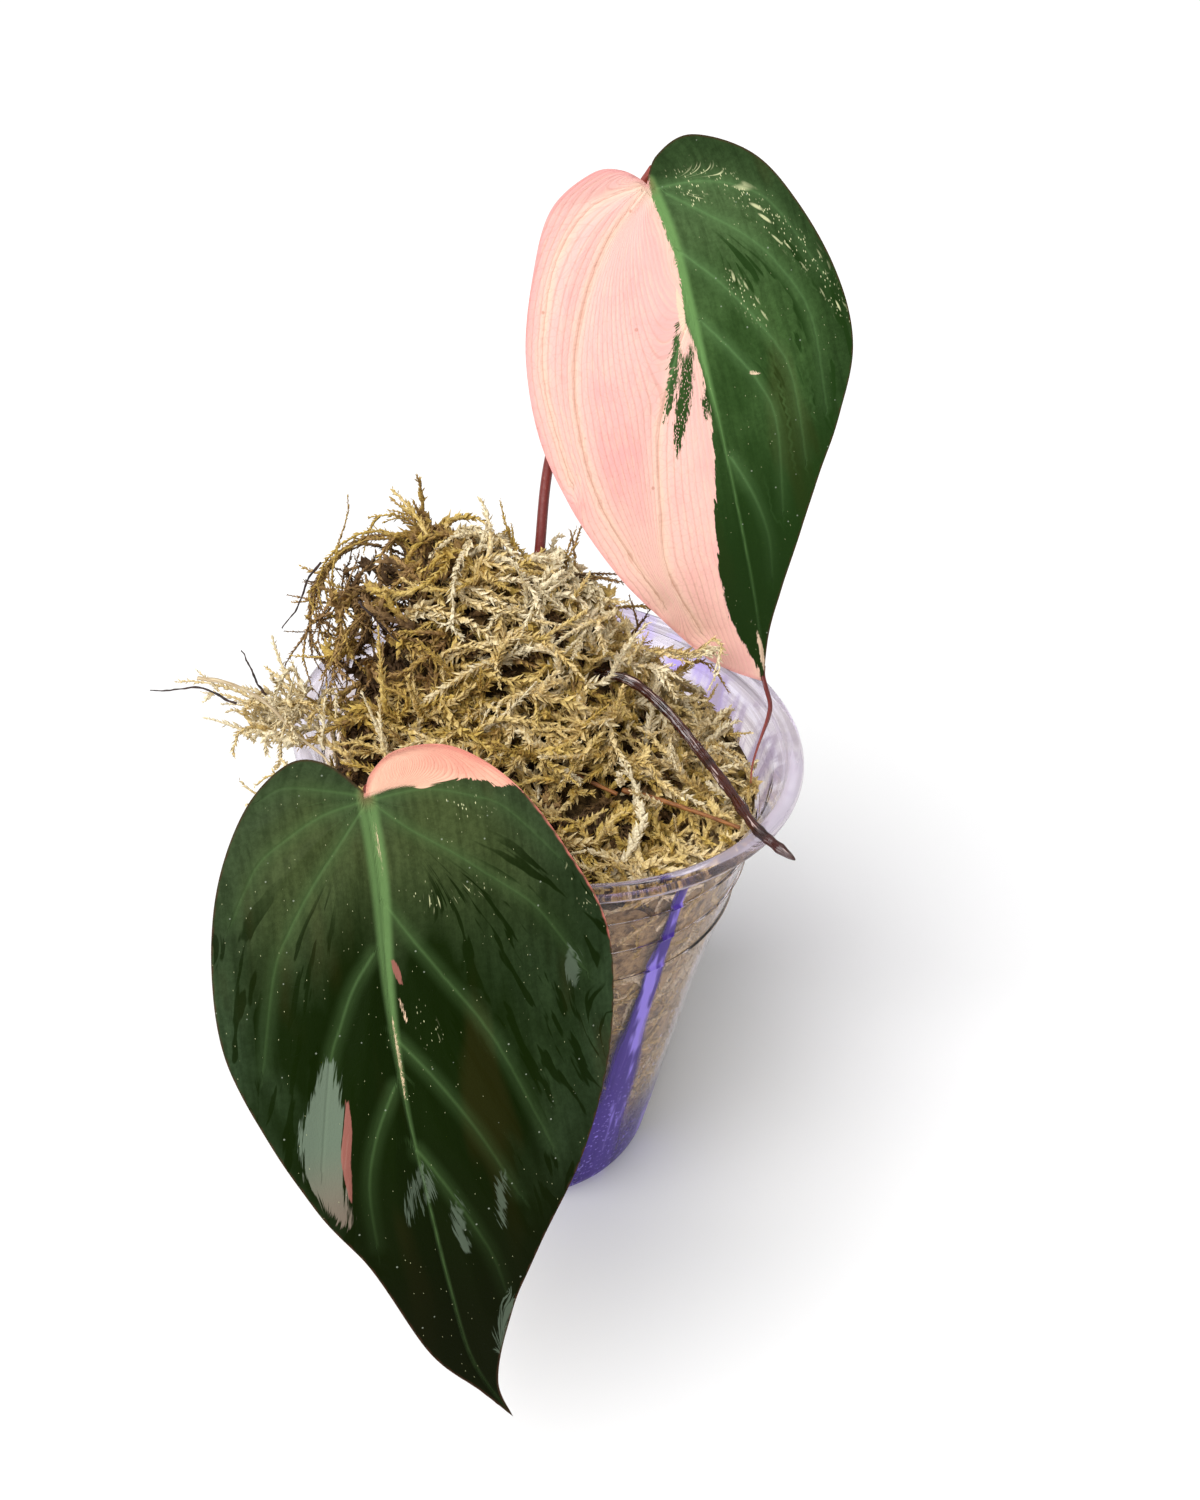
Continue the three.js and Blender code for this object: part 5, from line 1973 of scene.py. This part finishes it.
STRAYS = (
    Stray(0.95, 0.85, ((-39, -16, 105), (-45, -15, 111), (-53, -11, 112.5), (-62, -8, 114))),
    Stray(0.85, 0.8, (
        (-39, -18, 105), (-45, -17.5, 110.8), (-55, -12.8, 113), (-63.6, -11.5, 113), (-69, -11, 111.5),
    )),
    Stray(0.98, 1.0, (
        (-38, -21, 105), (-44, -20.5, 110.8), (-52.7, -18, 111.2), (-62, -16.5, 110.8), (-69, -18, 107),
    )),
    Stray(
        0.92, 0.9,
        ((-39, -14, 106), (-44, -13, 112), (-48, -10, 116), (-52.6, -5.3, 119.6), (-54, -3, 121.5)),
        2, 0.5,
    ),
    Stray(0.8, 0.85, (
        (-30, -28, 104), (-34, -35, 111), (-44.8, -36.8, 110.8), (-50.7, -38, 105), (-52.6, -40, 100.3),
    )),
    Stray(0.7, 0.9, (
        (-32, -25, 104), (-36.5, -31.5, 111.3), (-44.5, -31.5, 111.3), (-51, -36, 103), (-54.5, -41, 95),
    )),
    Stray(
        0.3, 0.7,
        (
            (-26, 10, 130), (-33.7, 13.6, 136), (-42, 14, 133), (-46.5, 10.5, 127.4), (-46, 5, 122),
            (-40, 2, 117),
        ),
        4, 1.4,
    ),
    Stray(0.35, 0.75, ((-24, 13, 131), (-32.6, 17.7, 138), (-40, 19.4, 136)), 3),
    Stray(
        0.15, 0.7, ((-27, 2, 125), (-36.8, 6, 129), (-43.8, 6, 125), (-46, 2, 119), (-40, -3, 112)), 4, 1.5
    ),
    Stray(
        0.2, 0.7, ((-30, 8, 127), (-35.5, 3.5, 127), (-38.5, -2, 122), (-41, -7, 117), (-37, -9, 110)), 4, 1.5
    ),
    Stray(
        0.15, 0.7,
        ((-28, 15, 130), (-41, 18, 131), (-48.5, 13.3, 124.4), (-48, 4.8, 116.5), (-39, -4, 111)),
        4, 1.5,
    ),
    Stray(
        0.9, 1.0,
        (
            (11, 10, 109), (16, 12, 117), (20, 9.5, 121), (25, 6, 122.7), (28.5, 7, 125.5), (30.5, 5, 124),
            (28.5, 2, 118),
        ),
        4, 0.8,
    ),
    Stray(0.88, 1.0, ((9, 7, 110), (14, 5, 119), (19, 3, 121), (24, 0, 117), (26, -2, 110)), 4, 1.0),
    Stray(0.3, 0.8, ((-8, 12, 130), (-10.6, 13, 136), (-13.4, 15.6, 141), (-14.8, 17.7, 144)), 2),
    Stray(0.4, 0.8, ((-1, 13, 128), (-1.3, 15, 136), (0, 17, 140.5)), 2),
    Stray(0.2, 0.8, ((-3, 12, 124), (0, 14, 131), (6, 16.3, 131), (12.4, 19, 129))),
    Stray(0.2, 0.8, ((9, 16, 108), (13, 20, 116), (16, 24, 121))),
    Stray(0.4, 0.8, ((17, 18, 100), (24, 24, 108), (29, 22, 112), (34, 18, 108))),
)

TANGLES = (
    Tangle((-36, 6, 121), (9, 8, 9), (-0.5, -0.2, -0.2), 42, (14, 24), (0.5, 0.68), (0.0, 0.38), 1.1),
    Tangle((-46, -15, 112), (7, 8, 3.5), (-0.9, 0.1, 0.1), 40, (9, 15), (0.8, 1.0), (0.8, 1.05)),
    Tangle((-42, -34, 106), (6, 5, 5), (-0.6, -0.3, -0.2), 22, (9, 14), (0.7, 0.9), (0.5, 0.9)),
)


# Stems


def ridged(radius: Callable[[Array], Array], count: int, depth: float) -> Reach:
    """Adds lengthwise ridges to a rod.

    Args:
        radius: Gives the rod's radius from the share of its length.
        count: Half the number of ridges.
        depth: Their height as a share of the radius.

    Returns:
        The radius from the share of the length and the angle.
    """

    def reach(share: Array, angle: Array) -> Array:
        """The radius at a share of the length and an angle."""
        return radius(share) * (1 + depth * np.cos(count * angle + 3 * share) ** 2)

    return reach


@dataclass
class Vine:
    """A short length of old woody vine with node rings, a tapered end and a few roots."""

    path: Path = (
        (45.6, -33.3, 108.8), (42.5, -30.9, 109.3), (38.9, -26.8, 109.4), (34.2, -17.3, 109.6),
        (28.4, -7.7, 110.6), (19.9, 0.5, 114.6), (12.7, 3.5, 117.4), (4, 5.5, 115.5), (-4, 7, 110),
        (-9, 6, 102), (-11, 2, 94),
    )
    roots: tuple[Path, ...] = (
        ((-3, 7, 110.5), (6, 12, 96), (9, 16, 76), (4, 14, 52)),
        ((-9.5, 5.5, 101), (-20, 2, 88), (-24, -6, 66), (-17, -14, 40)),
        ((-11, 2, 94.5), (-8, -6, 78), (2, -12, 56), (10, -8, 30)),
    )
    rings: tuple[float, ...] = (0.17, 0.36, 0.62, 0.8)
    radius: float = 0.8
    ring_swell: float = 0.34
    ring_width: float = 0.6
    notch_depth: float = 0.3
    notch_width: float = 0.25
    taper_length: float = 3.4
    root_radius: float = 0.5

    def build(self) -> Piece:
        """Builds the vine and its roots as one piece."""
        line = curve(self.path, 260)
        length = float(np.linalg.norm(np.diff(line, axis=0), axis=1).sum())

        def thickness(share: Array) -> Array:
            """The radius at a share of the length."""
            along = share * length
            offsets = [(share - at) * length for at in self.rings]
            rings = sum(peak(offset, self.ring_width) for offset in offsets)
            notches = sum(peak(offset, self.notch_width) for offset in offsets)
            waver = 0.06 * np.sin(along * 0.9) + 0.04 * np.sin(along * 2.3)
            taper = 0.12 + 0.88 * between(along, 0, self.taper_length) ** 0.7
            return (self.radius + self.ring_swell * rings - self.notch_depth * notches + waver) * taper

        def root(share: Array) -> Array:
            """A root's radius at a share of its length."""
            return self.root_radius * (1 - 0.35 * share)

        bark = WoodyBark().build()
        parts = [sweep("vine", line, ridged(thickness, 5, 0.24), bark, 40)]
        for path in self.roots:
            parts.append(sweep("root", curve(path, 40), ridged(root, 2, 0.1), bark, 10))
        return join("vine", parts)


@dataclass
class Petiole:
    """The stalk of a leaf, from the vine to the notch of the blade."""

    name: str
    path: Path
    radius: float = 1.0
    overlap: float = 0.7

    def build(self) -> Piece:
        """Builds the stalk, a little longer than its solid so that it meets the blade and the vine."""
        line = curve(self.path, 120)
        before = line[0] + unit(line[0] - line[1]) * self.overlap
        after = line[-1] + unit(line[-1] - line[-2]) * self.overlap
        reach = ridged(lambda share: self.radius * (1.02 - 0.14 * share), 3, 0.05)
        return sweep(self.name, np.vstack([before, line, after]), reach, PetioleSkin().build(), 20)


@dataclass
class DryStalk:
    """A dry broken stalk that lies in the moss."""

    name: str
    path: Path
    radius: float = 0.5

    def build(self) -> Piece:
        """Builds the stalk."""
        line = curve(self.path, 60)
        reach = ridged(lambda share: self.radius * (1 - 0.35 * share + 0.06 * np.sin(share * 40)), 3, 0.14)
        return sweep(self.name, line, reach, DryStalkSkin().build(), 12)


@dataclass
class DripTip:
    """The long curled thread that a blade ends in: a narrow folded strip."""

    path: Path = (
        (39.3, 12.6, 118.5), (39.5, 12.1, 116.6), (40.3, 10.3, 115), (41.3, 6.6, 113.6), (41.1, 4.3, 112.3),
        (40.3, 1.3, 110.6), (39.4, -1.9, 108.6), (38.8, -5, 106.5), (38.9, -7.3, 104.6),
    )
    radius: float = 0.5

    def build(self, name: str, material: Material) -> Piece:
        """Builds the thread."""
        line = curve(self.path, 90)

        def reach(share: Array, angle: Array) -> Array:
            """The radius: flattened, with a groove along it, and thinner to its end."""
            belly = 0.75 + 0.5 * np.sin(np.pi * np.clip(share * 1.15, 0, 1))
            turn = angle + 2.2 * share
            groove = 0.2 * peak(np.sin(turn / 2), 0.3)
            return self.radius * belly * (1 - 0.65 * share**3) * (0.75 + 0.35 * np.cos(2 * turn) - groove)

        return sweep(name, line, reach, material, 16)


@dataclass
class Rootlets:
    """Thin dry rootlets and bare stalks that lie in and on the moss."""

    name: str
    paths: tuple[Path, ...]
    radius: float
    kink: float = 0.15
    seed: int = 3

    def build(self, material: Material) -> Piece:
        """Builds all of them as one piece.

        Args:
            material: Their finish.

        Returns:
            The piece.
        """
        draw = np.random.default_rng(self.seed)
        parts = []
        for path in self.paths:
            line = curve(path, 60)
            wander = np.cumsum(draw.normal(0, self.kink, (12, 3)), axis=0)
            line = line + curve(wander - np.linspace(wander[0], wander[-1], 12), 60)
            bumps = draw.uniform(0, 2 * np.pi)

            def reach(share: Array, angle: Array) -> Array:
                """The radius: knotty, and thinner to the end."""
                knots = 1 + 0.25 * np.sin(share * 38 + bumps) * np.sin(share * 17)
                return self.radius * knots * (1 - 0.55 * share) * (1 + 0.12 * np.cos(3 * angle))

            parts.append(sweep("rootlet", line, reach, material, 9))
        return join(self.name, parts)


# Studio


@dataclass
class Studio:
    """A pale floor, soft light and the camera at the photograph's viewing angle."""

    elevation: float = 36.06
    roll: float = 7.38
    distance: float = 272.15
    target: Point = (9.76, 0.0, 102.5)
    lens: float = 33.6
    sensor: float = 36.0
    floor_radius: float = 6000.0
    floor_height: float = -0.05
    floor_colour: Colour = (0.93, 0.93, 0.93, 1.0)
    sun_from: Point = (-0.42, -0.5, 0.76)
    sun_power: float = 3.2
    sun_angle: float = 46.0
    sky_power: float = 0.46

    def build(self) -> None:
        """Adds the floor, the light from all round, the main light and the camera."""
        self._floor()
        self._sky()
        self._sun()
        self._camera()
        bpy.context.scene.view_settings.view_transform = "Standard"

    def _floor(self) -> None:
        """A large pale disc just under the part."""
        places = around_axis(self.floor_radius, full_turn(64), self.floor_height)
        material = Surface("pale_floor").plain(Base_Color=self.floor_colour, Roughness=0.9)
        add_mesh("floor", places, [tuple(range(64))], material, False)

    def _sky(self) -> None:
        """Even pale light from all round."""
        world = bpy.data.worlds.new("pale_room")
        world.use_nodes = True
        background = world.node_tree.nodes["Background"]
        background.inputs["Color"].default_value = (1.0, 1.0, 1.0, 1.0)
        background.inputs["Strength"].default_value = self.sky_power
        bpy.context.scene.world = world

    def _sun(self) -> None:
        """The main light, even over the whole floor and soft at its shadows' edges."""
        data = bpy.data.lights.new("main_light", "SUN")
        data.energy = self.sun_power
        data.angle = math.radians(self.sun_angle)
        made = add_object("main_light", data)
        made.rotation_euler = Vector(self.sun_from).to_track_quat("Z", "Y").to_euler()

    def _camera(self) -> None:
        """The camera, rolled as the photograph is."""
        angle = math.radians(self.elevation)
        ahead = Vector((0.0, math.cos(angle), -math.sin(angle)))
        place = (Vector(self.target) - ahead * self.distance) * MM
        data = bpy.data.cameras.new("camera")
        data.lens, data.sensor_width = self.lens, self.sensor
        data.clip_start = 0.01
        made = add_object("camera", data)
        aim = ahead.to_track_quat("-Z", "Y").to_matrix().to_4x4()
        roll = Matrix.Rotation(math.radians(self.roll), 4, "Z")
        made.matrix_world = Matrix.Translation(place) @ aim @ roll
        bpy.context.scene.camera = made


# Assembly

FRONT_COLOURS = LeafColours(
    lobe=paint(72, 84, 48),
    green=paint(46, 62, 36),
    # Painted bluish sheen along the margin.
    margin_sheen_shade=paint(54, 71, 47),
    deep=paint(15, 28, 2),
    tip=paint(15, 18, 4),
    vein=paint(82, 110, 64),
    midrib=paint(102, 134, 80),
    pink=paint(248, 190, 164),
    far_pink=paint(240, 164, 142),
    blush=paint(226, 128, 116),
    cream=paint(246, 210, 176),
    line=paint(182, 94, 84),
)

UPPER_COLOURS = LeafColours(
    lobe=paint(78, 102, 62),
    green=paint(64, 92, 48),
    # Painted shade along the margin.
    margin_sheen_shade=paint(36, 57, 27),
    deep=paint(30, 54, 18),
    tip=paint(30, 50, 18),
    vein=paint(98, 134, 82),
    midrib=paint(110, 150, 88),
    pink=paint(240, 186, 178),
    far_pink=paint(250, 198, 184),
    blush=paint(238, 160, 160),
    cream=paint(244, 212, 182),
    line=paint(180, 118, 96),
)

UPPER_STALK = Petiole(
    "upper_petiole_stalk",
    (
        (-5.2, 8.5, 108.5), (-5.9, 11.5, 122), (-6.4, 15.1, 137.1), (-6.6, 21.4, 150.5), (-3.6, 27.6, 170),
        (1.2, 32.2, 188), (4.3, 35, 198.3), (5.8, 33.72, 201.5),
    ),
)
FRONT_STALK = Petiole(
    "front_petiole_stalk",
    (
        (-10.4, 3, 99), (-13.5, -12, 101), (-17.7, -24.2, 106.6), (-19.2, -33.3, 111.6),
        (-22.4, -41.6, 118.2), (-25.42, -47.65, 123.78),
    ),
)
DRY_STALKS = (
    DryStalk(
        "left_dry_stalk", ((-8.5, -8.5, 106.5), (-2.9, -10.5, 106.3), (4.7, -12.6, 105.6), (14, -14.5, 103.5))
    ),
    DryStalk(
        "right_dry_stalk", ((15, -10.5, 101.5), (22, -13.4, 102.6), (30, -16.5, 103), (37, -19.4, 103.2))
    ),
)
DARK_ROOTLETS = (
    ((-46, 6, 132.5), (-48.9, 6, 127.3), (-50.1, 6, 123.9), (-52.1, 6, 120.3), (-53.7, 6, 117.1)),
    ((-36.5, -5, 132), (-35.2, -6, 130.9), (-32.4, -6, 128.2), (-28.7, -6, 125.1)),
    ((-55, -20, 117), (-62, -20, 119.6), (-66.5, -20, 118.4), (-70.4, -20, 117.4)),
    ((-50.5, -17, 117.5), (-52.9, -17, 122), (-54.6, -17, 126.2)),
)
PALE_STALKS = (
    (
        (-62, -19, 120.6), (-55.8, -19.5, 120.8), (-50.3, -20, 118.6), (-43.8, -21.5, 113.2),
        (-38.4, -24, 110.6), (-35.7, -28, 107.5), (-33.5, -31, 106),
    ),
)


def build_moss(cup: DrinkCup) -> None:
    """Builds the bed of the moss and its strands, layer by layer.

    Args:
        cup: The cup that the moss fills.
    """
    heap = MossHeap(cup)
    clearance = Clearance(cup)
    finish = DriedMoss().build()
    ride(heap.bed(), "dried_moss", "moss")
    form = StrandForm()
    for layer in heap.layers:
        ride(form.grow(layer.name, clearance.cut(heap.lay(layer)), finish), "dried_moss")
    lining = StrandForm(leaflet=1.7, half_width=0.42, spacing=0.44, tilt=24.0, hook=0.1)
    ride(lining.grow("moss_wall_strands", heap.line_wall(), finish), "dried_moss")
    bundles = [heap.scatter(tangle) for tangle in TANGLES] + [heap.follow(stray) for stray in STRAYS]
    loose = sum(bundles[1:], bundles[0])
    ride(form.grow("moss_strays", clearance.cut(loose), finish), "dried_moss")


def main() -> None:
    """Builds every piece in order."""
    logging.basicConfig(level=logging.INFO, format="%(message)s")
    Studio().build()
    cup = DrinkCup()
    ride(cup.build(), "cup_clear", "cup")
    ride(Droplets(cup).build(), "cup_clear")
    ride(Vine().build(), "vine_bark", "vine_stem")
    ride(UPPER_STALK.build(), "petiole_skin", "upper_petiole")
    ride(FRONT_STALK.build(), "petiole_skin", "front_petiole")
    for number, stalk in enumerate(DRY_STALKS, 1):
        ride(stalk.build(), "dry_stalk_skin", f"dry_stalk_{number}")
    front = Leaf("front_blade", FRONT_LEAF, FRONT_COLOURS, (0.1, 0.36), 0.14).build()
    ride(front, "leaf_green", "front_leaf")
    upper = Leaf("upper_blade", UPPER_LEAF, UPPER_COLOURS, (0.3, 0.8), 0.42).build()
    tip = DripTip().build("drip_tip", PetioleSkin().build())
    ride(join("upper_blade", [upper, tip]), "leaf_pink", "upper_leaf")
    build_moss(cup)
    dark = DryStalkSkin("dark_rootlet", paint(70, 48, 40), paint(30, 20, 22)).build()
    ride(Rootlets("dark_rootlets", DARK_ROOTLETS, 0.24).build(dark), "dried_moss")
    pale = DryStalkSkin("pale_stalk", paint(232, 214, 176), paint(168, 140, 104)).build()
    ride(Rootlets("pale_stalks", PALE_STALKS, 0.36, 0.12).build(pale), "dried_moss")


if __name__ == "__main__":
    main()
